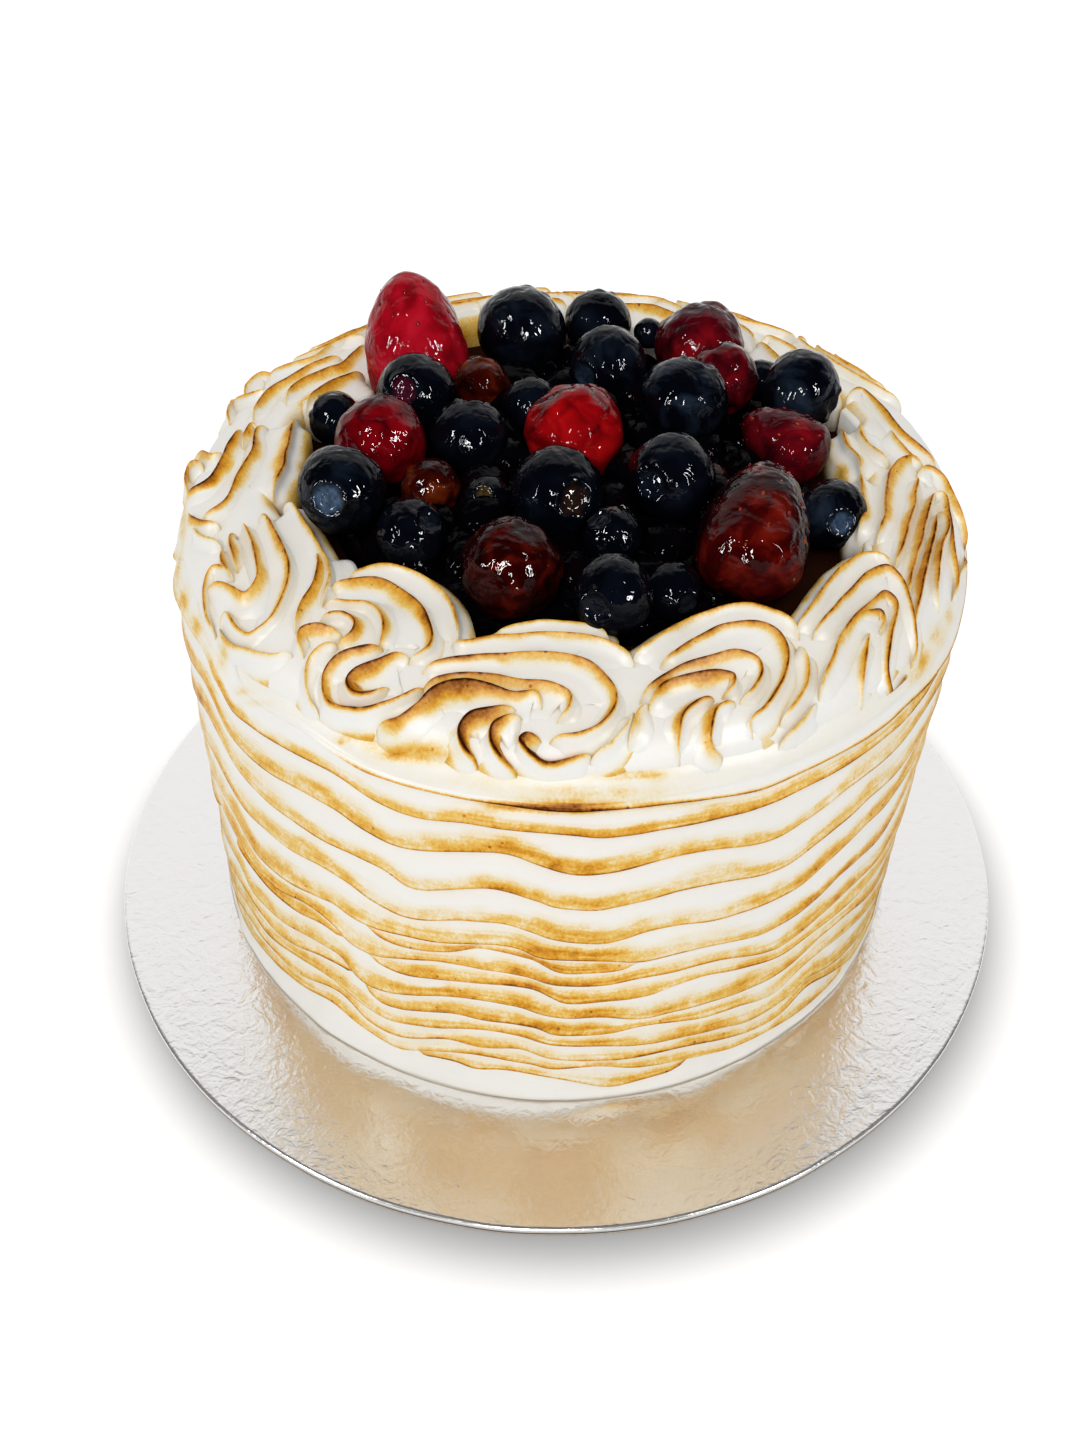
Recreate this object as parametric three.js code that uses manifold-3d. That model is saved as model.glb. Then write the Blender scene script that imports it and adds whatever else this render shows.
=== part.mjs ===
// A tall round pavlova cake: torched meringue combed round the side, ribbed meringue scrolls
// piped round the rim, a heap of glazed berries inside them, and the round foil card below.
// Millimetres, +Z up. The origin is the centre of the card's underside.
import * as THREE from "three";
import { mergeVertices } from "three/addons/utils/BufferGeometryUtils.js";
import Module from "manifold-3d";

const wasm = await Module();
wasm.setup();

// ---------------------------------------------------------------- driving dimensions

const GAP = 0.3; // left between two pieces that touch
const CARD = { radius: 101.6, thickness: 3, sides: 72 };

// The cake stands a little behind the card's centre and its top leans a little to the right.
const CAKE = {
  radius: 77, // mean radius of the combed side
  foot: 78.2, // radius of the smooth band spread out at the base
  footBand: 2, // height of that band's upright edge
  base: CARD.thickness + GAP,
  top: 97,
  shoulder: 7, // radius of the rounded top edge
  centre: { x: 0, y: 6 },
  lean: 2.4,
  sides: 48,
};

// Heights of the comb's lips at the front: wide bands above, fine ones below.
const LIPS = [90.5, 84.5, 76, 66.5, 57.5, 49, 43, 39.5, 36, 32.5, 29, 25.5, 22, 18.5, 15, 11];
const LIP = { proud: 0.8, undercut: 0.8 }; // a lip stands out this far and steps back below
// Where the comb rode up as the cake turned: place in degrees, rise in mm, half-width in degrees.
// The rise is full in the middle, none at the level height, and a part of itself at the foot.
const SWELL_FADE = { level: 91, depth: 13, atFoot: 0.25, climb: 60 };
const SWELLS = [
  { at: -150, rise: 7.5, width: 9 },
  { at: -128, rise: 3.5, width: 5 },
  { at: -100, rise: 3.8, width: 7 },
  { at: -74, rise: 2.6, width: 7 },
  { at: -46, rise: 5.6, width: 9 },
  { at: -14, rise: 3, width: 8 },
  { at: 14, rise: 5, width: 9 },
  { at: 44, rise: 2.8, width: 7 },
  { at: 72, rise: 4.2, width: 9 },
  { at: 102, rise: 3, width: 7 },
  { at: 134, rise: 5, width: 9 },
  { at: 172, rise: 3.2, width: 8 },
];

// The piped scrolls. A scroll is a band of ribs between an outer rail, next to the berries, and
// an inner rail, round which the scroll turns. Rail points are [degrees, radius] about the top.
const RIBBON = {
  ribs: 4,
  valley: 2.2, // depth of the furrow between two ribs
  furrow: 0.25, // where the furrow lies between its two crests
  floor: 94,
  crest: 106.2, // height of the crown by the berries
  brow: 97.4, // height of the crown at the cake's edge
  flat: 56, // the crown is level out to this radius
  reach: 78,
  roundness: 0.8,
  ends: { height: 0.55, growth: 1.35 }, // a scroll starts and stops at a part of its height
};
const SCROLLS = [
  {
    outer: [[133, 57.5], [140, 54], [146, 53.5], [152.5, 55], [157.5, 57], [162.5, 57.5], [166, 55]],
    inner: [[129, 63], [132.5, 66.5], [136, 70], [142, 73], [147, 77], [152, 77], [162.5, 72]],
  },
  {
    outer: [[164.5, 57], [173, 55.5], [181, 55.5], [188.5, 57.5], [194, 61], [196, 66], [191.5, 72]],
    inner: [[167, 67.5], [170.5, 68.5], [172.5, 70], [173, 73], [172.5, 75.5], [173.5, 77], [176, 76.5]],
  },
  {
    outer: [[195, 55.5], [202, 54], [209.5, 53.5], [217, 57], [222, 64], [224, 70], [218, 75.5]],
    inner: [[198.5, 65.5], [201, 67], [205, 68], [207.5, 68], [205.5, 70.5], [203.5, 72.5], [206.5, 75]],
  },
  {
    // the long double scroll at the front: over, down round a hairpin, over again and back
    outer: [
      [222, 58], [223.5, 49.5], [232, 45.5], [241, 47.5], [247.5, 56.5], [245, 65], [241.5, 70],
      [244.5, 67], [249.5, 58.5], [257, 53], [266, 51], [274.5, 53.5], [278.5, 60.5], [277.5, 68],
      [274, 73], [267, 76.5],
    ],
    inner: [
      [224, 65], [227.5, 62.5], [231, 61.5], [233, 63.5], [230.5, 68.5], [231, 74], [236.5, 76.5],
      [244, 75], [249, 69], [252.5, 65.5], [258.5, 66], [264, 65.5], [265, 68], [258.5, 69.5],
      [255, 72.5], [257.5, 76],
    ],
  },
  {
    outer: [
      [271, 76], [277, 69], [281, 59.5], [288, 53.5], [296.5, 51.5], [305.5, 57], [303.5, 67.5],
      [294, 76],
    ],
    inner: [
      [277.5, 75], [279, 70], [281.5, 67], [286, 64], [290, 64.5], [292, 66.5], [284.5, 69.5],
      [281.5, 76],
    ],
  },
  {
    outer: [
      [303.5, 76], [306, 67], [311, 59.5], [318, 57.5], [326, 57.5], [331, 61.5], [326.5, 71],
      [318.5, 76.5],
    ],
    inner: [
      [307.5, 76.5], [310, 72], [313, 69], [316.5, 67.5], [319.5, 67.5], [318.5, 69.5], [312.5, 73],
      [308, 77],
    ],
  },
  {
    outer: [
      [324, 73], [329, 65], [336, 59.5], [345.5, 58], [354, 59.5], [361, 64.5], [357, 71.5], [342, 76],
    ],
    inner: [
      [325, 73.5], [328.5, 71], [334, 69], [341.5, 68.5], [349, 69], [344.5, 70.5], [335, 71.5],
      [329, 74],
    ],
  },
  {
    outer: [[353.5, 59], [358, 55], [365, 53], [372, 53.5], [379.5, 56.5], [386, 61]],
    inner: [[357.5, 69], [362, 70.5], [369, 71], [376, 71], [383, 70.5], [387, 68]],
  },
  ...[48, 73, 98, 123].map(arch),
];
// Scrolls round the far side: plain arches, one after another.
function arch(at) {
  return {
    outer: [
      [at - 14, 71], [at - 12, 64], [at - 6, 57], [at + 2, 54.5], [at + 10, 57], [at + 12, 64],
      [at + 7, 72],
    ],
    inner: [
      [at - 9, 71], [at - 7, 68.5], [at - 3, 66], [at + 1, 65], [at + 3, 66.5], [at + 1, 69],
      [at - 1, 72],
    ],
  };
}
const STEPS_PER_POINT = 2;
// The ring of meringue under the scrolls, as [radius, height] of its section.
const FOOTING = [[49.5, 94], [73, 94], [73, 96.5], [67, 99.5], [60, 102], [52, 102], [49.5, 100]];
const FOOTING_SIDES = 36;

// The mound of sunk berries and syrup that carries the heap, as [radius, height] of its outline.
const MOUND = [[46.5, 97 + GAP], [45.5, 101], [40, 103.5], [28, 105.5], [0, 106.8]];
const MOUND_SIDES = 20;

// The fruit: centre in mm, radius, and where the crown or tip points as degrees round and up.
const FRUIT = [
  { name: "blueberry_back_left", kind: "blueberry", at: [-7.5, 47, 109], radius: 9.4, turn: [60, 35] },
  {
    name: "blueberry_left_upper", kind: "blueberry",
    at: [-27.5, 18.2, 111.6], radius: 7.7, turn: [250, 35],
  },
  {
    name: "blueberry_left_small", kind: "blueberry",
    at: [-44.5, 22.5, 103.6], radius: 5.4, turn: [170, 30],
  },
  { name: "blueberry_middle_left", kind: "blueberry", at: [-17, 7, 109], radius: 7.7, turn: [80, 60] },
  {
    name: "blueberry_middle_back", kind: "blueberry",
    at: [-5.5, 19.5, 108.2], radius: 5.8, turn: [100, 20],
  },
  { name: "blueberry_back_right", kind: "blueberry", at: [8.6, 54.5, 106.7], radius: 7.1, turn: [80, 50] },
  { name: "blueberry_back_middle", kind: "blueberry", at: [10.2, 33, 109], radius: 8, turn: [225, 5] },
  { name: "blueberry_back_small", kind: "blueberry", at: [19.2, 51.5, 106], radius: 3.2, turn: [45, 20] },
  { name: "blueberry_pale", kind: "blueberry", at: [24, 15.4, 112], radius: 8.7, turn: [40, 60] },
  { name: "blueberry_far_right", kind: "blueberry", at: [47.5, 23.5, 108.8], radius: 8.2, turn: [330, -5] },
  { name: "blueberry_far_small", kind: "blueberry", at: [42, 37, 103.4], radius: 4.4, turn: [30, 30] },
  { name: "blueberry_middle_right", kind: "blueberry", at: [20, -10.3, 112], radius: 8.1, turn: [235, 20] },
  { name: "blueberry_middle", kind: "blueberry", at: [-0.4, -12.8, 110], radius: 8.7, turn: [295, 25] },
  { name: "blueberry_left", kind: "blueberry", at: [-39, -12.9, 111], radius: 8.1, turn: [255, 20] },
  {
    name: "blueberry_front_left", kind: "blueberry",
    at: [-26.4, -20.2, 106.5], radius: 6.7, turn: [330, 50],
  },
  {
    name: "blueberry_small_middle", kind: "blueberry",
    at: [-13.3, -9.8, 106.7], radius: 4.5, turn: [260, 50],
  },
  { name: "blueberry_front", kind: "blueberry", at: [8.7, -39.8, 108.5], radius: 7.1, turn: [240, 15] },
  {
    name: "blueberry_front_low", kind: "blueberry",
    at: [19.3, -33.5, 104.3], radius: 5.4, turn: [300, 10],
  },
  { name: "blueberry_front_small", kind: "blueberry", at: [9.1, -24, 109], radius: 5.5, turn: [200, 60] },
  { name: "blueberry_right", kind: "blueberry", at: [50, -10.4, 103.9], radius: 6.5, turn: [280, 20] },
  { name: "red_berry_left", kind: "round", at: [-33.2, 3.1, 110.7], radius: 8.5, turn: [120, 55] },
  { name: "red_berry_middle", kind: "round", at: [3, 6.1, 110], radius: 9.5, turn: [100, 60] },
  { name: "red_berry_front", kind: "round", at: [-8.6, -31.7, 107.8], radius: 9, turn: [120, 65] },
  { name: "red_berry_back", kind: "round", at: [29.5, 43, 107], radius: 9.4, turn: [60, 70] },
  { name: "red_berry_back_low", kind: "round", at: [32.8, 27.4, 109.4], radius: 6.7, turn: [30, 40] },
  { name: "berry_piece_left", kind: "round", at: [-23.7, -7.2, 107.6], radius: 5.4, turn: [60, 40] },
  { name: "berry_piece_right", kind: "round", at: [27.4, -2.3, 103.8], radius: 5.2, turn: [60, 40] },
  { name: "berry_piece_back", kind: "round", at: [-15.5, 26.4, 108.4], radius: 5.8, turn: [60, 40] },
  {
    name: "strawberry_tall", kind: "strawberry",
    at: [-27.2, 32.4, 99.8], radius: 10.4, length: 26.6, turn: [106, 60],
  },
  {
    name: "strawberry_large", kind: "strawberry",
    at: [31.5, -34.6, 104.4], radius: 9.8, length: 27, turn: [76, 22],
  },
  {
    name: "strawberry_right", kind: "strawberry",
    at: [49.6, 1.9, 106.6], radius: 6.6, length: 18.4, turn: [140, 7],
  },
];
// Half outlines of the fruit, as [across, along] with the crown or tip at the end. The round
// kinds are in radii about the centre, the strawberry in radii and lengths from its broad end.
const OUTLINES = {
  blueberry: [
    [0, -0.96], [0.61, -0.8], [1.01, -0.26], [1, 0.28], [0.62, 0.79],
    [0.39, 0.95], [0.28, 0.78], [0, 0.76],
  ],
  round: [[0, -1], [0.62, -0.81], [1.01, -0.24], [0.98, 0.34], [0.52, 0.88], [0, 1]],
  strawberry: [[0, 0], [0.64, 0.04], [1.01, 0.22], [1, 0.44], [0.74, 0.75], [0.36, 0.95], [0, 1]],
};
const FRUIT_SIDES = 9;

// ---------------------------------------------------------------- materials

const finish = (color, roughness, metalness = 0) =>
  new THREE.MeshStandardMaterial({ color, roughness, metalness });
const FINISH = {
  foil: finish(0xc9c9cb, 0.35, 0.8),
  meringue: finish(0xf3efe6, 0.55),
  piping: finish(0xefe2c8, 0.5),
  syrup: finish(0x14060a, 0.12),
  blueberry: finish(0x10141f, 0.12),
  round: finish(0x7d0a12, 0.12),
  strawberry: finish(0x8e0d14, 0.12),
};

// ---------------------------------------------------------------- geometry helpers

const radians = THREE.MathUtils.degToRad;

// A closed surface through rings of equal length, with a fan over the first and the last ring.
function skin(rings, first, last) {
  const sides = rings[0].length;
  const points = [...rings.flat(), first, last];
  const firstAt = points.length - 2;
  const lastAt = points.length - 1;
  const faces = [];
  for (let k = 0; k < sides; k++) {
    const next = (k + 1) % sides;
    faces.push(firstAt, next, k);
    const end = (rings.length - 1) * sides;
    faces.push(lastAt, end + k, end + next);
    for (let row = 0; row < rings.length - 1; row++) {
      const a = row * sides;
      const b = a + sides;
      faces.push(a + k, a + next, b + next, a + k, b + next, b + k);
    }
  }
  return new THREE.BufferGeometry().setFromPoints(points).setIndex(faces);
}

// A turned solid: the outline runs from the lowest point on the axis to the highest one.
const turned = (outline, sides) =>
  new THREE.LatheGeometry(outline.map(([r, z]) => new THREE.Vector2(r, z)), sides).rotateX(Math.PI / 2);

function toSolid(geometry) {
  const plain = geometry.clone();
  plain.deleteAttribute("normal");
  plain.deleteAttribute("uv");
  const merged = mergeVertices(plain, 1e-4);
  const solid = new wasm.Manifold(
    new wasm.Mesh({
      numProp: 3,
      vertProperties: merged.attributes.position.array,
      triVerts: new Uint32Array(merged.index.array),
    }),
  );
  if (solid.volume() < 0) throw new Error("a solid is inside out");
  return solid;
}

// Facets that differ by less than this are merged after cuts and joins.
const FACET_TOLERANCE = 0.15;

function toGeometry(solid) {
  const mesh = solid.simplify(FACET_TOLERANCE).getMesh();
  return new THREE.BufferGeometry()
    .setAttribute("position", new THREE.BufferAttribute(new Float32Array(mesh.vertProperties), 3))
    .setIndex(new THREE.BufferAttribute(new Uint32Array(mesh.triVerts), 1));
}

// ---------------------------------------------------------------- the card

function cardGeometry() {
  const { radius, thickness, sides } = CARD;
  return turned([[0, 0], [radius, 0], [radius, thickness], [0, thickness]], sides);
}

// ---------------------------------------------------------------- the cake

// The cake's axis at a height.
const axisAt = (z) =>
  new THREE.Vector2(
    CAKE.centre.x + (CAKE.lean * (z - CAKE.base)) / (CAKE.top - CAKE.base),
    CAKE.centre.y,
  );

// The rise of the comb lines at an angle and a height.
function swell(degrees, z) {
  const { level, depth, atFoot, climb } = SWELL_FADE;
  const above = THREE.MathUtils.clamp((level - z) / depth, 0, 1);
  const strength = above * Math.min(1, atFoot + z / climb);
  return SWELLS.reduce((sum, { at, rise, width }) => {
    const off = ((((degrees - at) % 360) + 540) % 360) - 180;
    return sum + strength * rise * Math.exp(-((off / width) ** 2));
  }, 0);
}

// Radii and heights of the cake's rings, from the base to the crown of the shoulder.
function cakeProfile() {
  const { radius, foot, footBand, base, top, shoulder } = CAKE;
  const rings = [{ r: foot, z: base, waved: 0 }, { r: foot, z: base + footBand, waved: 0 }];
  for (const z of [...LIPS].reverse()) {
    rings.push({ r: radius - LIP.proud, z: z - LIP.undercut, waved: 1 });
    rings.push({ r: radius + LIP.proud, z, waved: 1 });
  }
  for (const turn of [20, 45, 68, 90]) {
    rings.push({
      r: radius - shoulder * (1 - Math.cos(radians(turn))),
      z: top - shoulder * (1 - Math.sin(radians(turn))),
      waved: 0,
    });
  }
  return rings;
}

function cakeGeometry() {
  const angles = Array.from({ length: CAKE.sides }, (_, k) => (k * 360) / CAKE.sides);
  const rings = cakeProfile().map(({ r, z, waved }) =>
    angles.map((angle) => {
      const height = z + waved * swell(angle > 180 ? angle - 360 : angle, z);
      const axis = axisAt(height);
      const turn = radians(angle);
      return new THREE.Vector3(axis.x + r * Math.cos(turn), axis.y + r * Math.sin(turn), height);
    }),
  );
  const low = axisAt(CAKE.base);
  const high = axisAt(CAKE.top);
  return skin(
    rings,
    new THREE.Vector3(low.x, low.y, CAKE.base),
    new THREE.Vector3(high.x, high.y, CAKE.top),
  );
}

// ---------------------------------------------------------------- the piped border

const topCentre = axisAt(CAKE.top);
const onTop = ([degrees, radius]) =>
  new THREE.Vector3(
    topCentre.x + radius * Math.cos(radians(degrees)),
    topCentre.y + radius * Math.sin(radians(degrees)),
    0,
  );

// The border's crown: level by the berries, and falling in a quarter wave to the cake's edge.
function crownAt(radius) {
  const fall = THREE.MathUtils.clamp((radius - RIBBON.flat) / (RIBBON.reach - RIBBON.flat), 0, 1);
  return RIBBON.brow + (RIBBON.crest - RIBBON.brow) * Math.cos((fall * Math.PI) / 2) ** RIBBON.roundness;
}

// Places across the ribbon, from the inner rail: a crest, then a valley just outside it.
function ribbonPlaces() {
  const places = [];
  for (let rib = 0; rib < RIBBON.ribs; rib++) {
    places.push({ across: rib / RIBBON.ribs, sunk: 0 });
    places.push({ across: (rib + RIBBON.furrow) / RIBBON.ribs, sunk: 1 });
  }
  places.push({ across: 1, sunk: 0 });
  return places;
}

function scrollGeometry({ outer, inner }) {
  const steps = (outer.length - 1) * STEPS_PER_POINT;
  const [out, core] = [outer, inner].map((rail) =>
    new THREE.CatmullRomCurve3(rail.map(onTop), false, "centripetal"),
  );
  const centre = new THREE.Vector3(topCentre.x, topCentre.y, 0);
  const rings = [];
  for (let step = 0; step <= steps; step++) {
    const along = step / steps;
    const taper = Math.min(1, RIBBON.ends.height + RIBBON.ends.growth * Math.sin(Math.PI * along));
    const from = core.getPoint(along);
    const to = out.getPoint(along);
    const ring = ribbonPlaces().map(({ across, sunk }) => {
      const point = from.clone().lerp(to, across);
      const crown = crownAt(point.distanceTo(centre)) - sunk * RIBBON.valley;
      return point.setZ(RIBBON.brow + (crown - RIBBON.brow) * taper);
    });
    ring.push(to.clone().setZ(RIBBON.floor), from.clone().setZ(RIBBON.floor));
    rings.push(ring.reverse()); // anticlockwise as seen from the end the ribbon runs to
  }
  const middle = (ring) =>
    ring.reduce((sum, point) => sum.add(point), new THREE.Vector3()).divideScalar(ring.length);
  return skin(rings, middle(rings[0]), middle(rings[rings.length - 1]));
}

// The top of the cake grown by the gap, which trims the underside of the border.
function cakeCutter() {
  const { top, shoulder } = CAKE;
  const radius = CAKE.radius + LIP.proud + GAP;
  const rounded = [15, 35, 55, 72, 90].map((turn) => [
    radius - shoulder * (1 - Math.cos(radians(turn))),
    top + GAP - shoulder * (1 - Math.sin(radians(turn))),
  ]);
  const low = RIBBON.floor - shoulder;
  return turned([[0, low], [radius, low], ...rounded, [0, top + GAP]], CAKE.sides).translate(
    topCentre.x,
    topCentre.y,
    0,
  );
}

// ---------------------------------------------------------------- the mound under the berries

function moundGeometry(grown) {
  const outline = MOUND.map(([r, z]) => [r > 0 ? r + grown : 0, z + grown]);
  const [[foot, low]] = outline;
  const floor = low - 2 * grown;
  return turned([[0, floor], [foot, floor], ...outline.slice(1)], MOUND_SIDES).translate(
    topCentre.x,
    topCentre.y,
    0,
  );
}

// A solid with each piece of fruit that reaches into it pressed into its surface.
const hollowed = (solid, sockets) => sockets.reduce((rest, socket) => rest.subtract(socket), solid);

// ---------------------------------------------------------------- the fruit

function fruitGeometry({ kind, at, radius, length = radius, turn }, grown = 0) {
  const wide = radius + grown;
  const long = kind === "strawberry" ? length + 2 * grown : length + grown;
  const back = kind === "strawberry" ? -grown : 0;
  const outline = OUTLINES[kind].map(([across, along]) => [across * wide, along * long + back]);
  const [round, up] = turn.map(radians);
  const pointing = new THREE.Vector3(
    Math.cos(up) * Math.cos(round),
    Math.cos(up) * Math.sin(round),
    Math.sin(up),
  );
  const spin = new THREE.Quaternion().setFromUnitVectors(new THREE.Vector3(0, 0, 1), pointing);
  return turned(outline, FRUIT_SIDES).applyQuaternion(spin).translate(...at);
}

// ---------------------------------------------------------------- the model

const model = new THREE.Group();
const place = (name, geometry, material) => {
  const mesh = new THREE.Mesh(geometry, material);
  mesh.name = name;
  model.add(mesh);
};

place("board", cardGeometry(), FINISH.foil);
place("cake", cakeGeometry(), FINISH.meringue);

const sockets = FRUIT.map((fruit) => toSolid(fruitGeometry(fruit, GAP)));
const footing = turned([...FOOTING, FOOTING[0]], FOOTING_SIDES).translate(topCentre.x, topCentre.y, 0);
const border = SCROLLS.map((scroll) => toSolid(scrollGeometry(scroll)))
  .reduce((sum, scroll) => sum.add(scroll), toSolid(footing))
  .subtract(toSolid(cakeCutter()))
  .subtract(toSolid(moundGeometry(GAP)));
place("piped_border", toGeometry(hollowed(border, sockets)), FINISH.piping);
place("berry_bed", toGeometry(hollowed(toSolid(moundGeometry(0)), sockets)), FINISH.syrup);

for (const fruit of FRUIT) place(fruit.name, fruitGeometry(fruit), FINISH[fruit.kind]);

export default model;
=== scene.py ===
"""The looks of a tall torched pavlova with glazed berries, on its round foil card.

Lengths in the formulas are millimetres, and meshes are written in metres. The frame's origin is
the centre of the card's underside, +Z is up and -Y is the front.
"""

import bpy
import numpy as np
from bpy.props import FloatProperty, FloatVectorProperty, IntProperty, PointerProperty
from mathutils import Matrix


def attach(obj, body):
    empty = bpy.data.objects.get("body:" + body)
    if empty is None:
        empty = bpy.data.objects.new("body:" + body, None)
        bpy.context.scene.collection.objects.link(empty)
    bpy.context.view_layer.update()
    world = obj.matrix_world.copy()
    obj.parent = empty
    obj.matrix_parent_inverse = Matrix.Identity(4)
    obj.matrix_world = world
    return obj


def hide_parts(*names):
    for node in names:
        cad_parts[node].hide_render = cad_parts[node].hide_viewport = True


bl_info = {
    "name": "Torched Pavlova",
    "version": (1, 0, 0),
    "blender": (4, 5, 0),
    "location": "View3D > Sidebar > Pavlova",
    "description": "Builds a combed and piped pavlova with glazed berries, piece by piece",
    "category": "Add Mesh",
}

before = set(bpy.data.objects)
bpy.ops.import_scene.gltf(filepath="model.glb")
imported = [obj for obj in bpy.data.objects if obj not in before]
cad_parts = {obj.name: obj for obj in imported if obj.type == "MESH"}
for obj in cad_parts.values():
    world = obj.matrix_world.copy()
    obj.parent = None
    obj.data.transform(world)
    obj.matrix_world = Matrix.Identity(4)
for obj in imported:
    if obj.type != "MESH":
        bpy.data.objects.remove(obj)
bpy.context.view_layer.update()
MM = 0.001
BODY = "root"

# The camera, for a frame of 1086 x 1448 pixels: focal length and row of the aim in pixels, and the
# place it looks at in millimetres.
FRAME_WIDTH, FRAME_HEIGHT = 1086, 1448
FOCAL, CAMERA_ROW = 1480.0, 842.0
CAMERA_X, CAMERA_AIM = -3.06, 3.0

# ------------------------------------------------------------------ sizes shared with the solids

CAKE_CENTRE = (0.0, 6.0)
LEAN_FOOT = 3.3  # height from which the cake leans
LIP_GAP = 0.75  # least height between two lips of the comb
LIP_RANGE = (4.9, 96.2)  # heights between which all the lips stay
CREST_LIMIT = 77.2  # distance from the middle of the top that a rib's outer side nears
GOLDEN_TURN = 2.39996  # radians from one place of a golden spiral to the next
# The comb's lips from the top down: the height on the hidden far side, and the line that a lip
# follows over the front, as places in the camera's 1086 x 1448 frame. A lip whose height is None
# runs into the one above it at both ends.
LIP_LINES = (
    (88.5, [
        [180, 590], [200, 621], [220, 665], [231, 687], [247, 703], [296, 734], [344, 763], [376, 778],
        [415, 790], [464, 801], [523, 809], [577, 813], [640, 809], [700, 802], [737, 797], [770, 789],
        [807, 772], [841, 755], [870, 737], [890, 722], [910, 702], [930, 684], [943, 667],
    ]),
    (82.5, [
        [181, 617], [200, 649], [220, 690], [232, 712], [250, 727], [283, 748], [325, 771], [345, 784],
        [376, 804], [415, 818], [464, 823], [500, 829], [577, 838], [608, 839], [659, 831], [714, 821],
        [770, 805], [807, 787], [840, 770], [870, 750], [900, 726], [920, 703], [941, 671],
    ]),
    (74, [
        [186, 652], [200, 671], [212, 698], [226, 730], [240, 749], [267, 773], [296, 789], [335, 811],
        [364, 831], [393, 846], [420, 852], [494, 854], [517, 858], [538, 866], [561, 873], [582, 876],
        [617, 873], [649, 865], [685, 856], [714, 851], [755, 846], [779, 839], [802, 825], [826, 808],
        [850, 787], [890, 755], [904, 742], [920, 719], [932, 697],
    ]),
    (64.5, [
        [190, 684], [200, 701], [215, 732], [230, 761], [243, 779], [270, 806], [317, 838], [355, 856],
        [382, 869], [411, 888], [443, 890], [488, 888], [508, 892], [541, 903], [555, 908], [597, 911],
        [617, 908], [649, 901], [685, 891], [737, 881], [764, 876], [785, 868], [802, 857], [826, 838],
        [850, 818], [870, 798], [890, 781], [901, 770], [920, 740], [933, 710],
    ]),
    (55.5, [
        [198, 720], [210, 745], [225, 779], [240, 805], [252, 820], [287, 850], [320, 867], [346, 884],
        [370, 901], [396, 915], [420, 921], [464, 922], [508, 926], [532, 933], [552, 940], [599, 945],
        [623, 941], [649, 933], [685, 926], [711, 922], [743, 912], [770, 902], [802, 886], [830, 862],
        [850, 844], [870, 823], [890, 804], [900, 791], [910, 771], [920, 748],
    ]),
    (48.5, [
        [203, 745], [213, 776], [230, 809], [250, 845], [260, 859], [287, 882], [318, 898], [332, 904],
        [350, 917], [372, 928], [405, 937], [440, 944], [500, 947], [520, 951], [540, 959], [600, 962],
        [640, 963], [660, 959], [700, 949], [740, 941], [760, 936], [780, 926], [800, 913], [820, 896],
        [840, 876], [880, 839], [895, 817], [910, 783], [918, 760],
    ]),
    (None, [
        [358, 924], [370, 932], [400, 947], [440, 953], [480, 951], [520, 958], [540, 965], [560, 974],
        [600, 974], [625, 970], [640, 966],
    ]),
    (43.5, [
        [207, 768], [217, 799], [240, 846], [260, 874], [280, 891], [300, 901], [320, 915], [335, 928],
        [350, 944], [375, 956], [440, 963], [480, 970], [528, 979], [545, 985], [560, 988], [600, 987],
        [640, 979], [680, 971], [720, 961], [750, 956], [775, 950], [795, 938], [830, 910], [870, 870],
        [880, 859], [890, 841], [900, 818], [910, 790],
    ]),
    (39.5, [
        [211, 790], [220, 806], [230, 828], [240, 851], [262, 882], [280, 900], [300, 914], [320, 923],
        [340, 938], [360, 953], [400, 974], [440, 980], [515, 987], [535, 991], [550, 998], [565, 1004],
        [600, 1003], [650, 996], [668, 989], [700, 978], [740, 969], [780, 956], [800, 943], [840, 912],
        [860, 893], [886, 858], [896, 835], [904, 812],
    ]),
    (34.5, [
        [213, 811], [222, 829], [238, 862], [252, 892], [280, 921], [300, 933], [320, 944], [340, 957],
        [360, 980], [385, 992], [460, 998], [520, 1008], [540, 1015], [565, 1019], [600, 1018], [640, 1021],
        [680, 1012], [725, 998], [750, 989], [785, 971], [820, 939], [840, 922], [875, 889], [892, 856],
    ]),
    (30, [
        [217, 838], [234, 870], [250, 898], [270, 925], [290, 942], [320, 956], [350, 973], [380, 1003],
        [400, 1010], [455, 1015], [480, 1021], [535, 1029], [555, 1036], [610, 1034], [640, 1027],
        [700, 1019], [740, 1007], [770, 997], [805, 966], [840, 938], [858, 921], [872, 903], [884, 880],
    ]),
    (25, [
        [220, 858], [236, 888], [252, 914], [270, 938], [300, 960], [330, 979], [350, 995], [370, 1010],
        [390, 1021], [430, 1028], [487, 1031], [520, 1037], [550, 1046], [600, 1047], [640, 1046],
        [680, 1038], [722, 1028], [750, 1021], [790, 996], [805, 980], [832, 964], [860, 936], [880, 900],
    ]),
    (20, [
        [224, 873], [240, 902], [260, 934], [280, 957], [300, 974], [340, 993], [370, 1022], [400, 1037],
        [450, 1040], [480, 1048], [520, 1050], [550, 1060], [620, 1060], [680, 1048], [745, 1034],
        [780, 1015], [808, 988], [835, 972], [862, 944], [876, 922],
    ]),
    (15.5, [
        [244, 925], [270, 958], [300, 984], [330, 1001], [362, 1026], [400, 1048], [430, 1051], [465, 1054],
        [500, 1060], [530, 1065], [550, 1070], [600, 1067], [640, 1068], [700, 1056], [740, 1045],
        [785, 1021], [806, 1006], [840, 975],
    ]),
    (None, [
        [425, 1056], [455, 1062], [475, 1069], [500, 1070], [545, 1078], [575, 1083], [610, 1088],
        [640, 1081], [665, 1074],
    ]),
)
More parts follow.
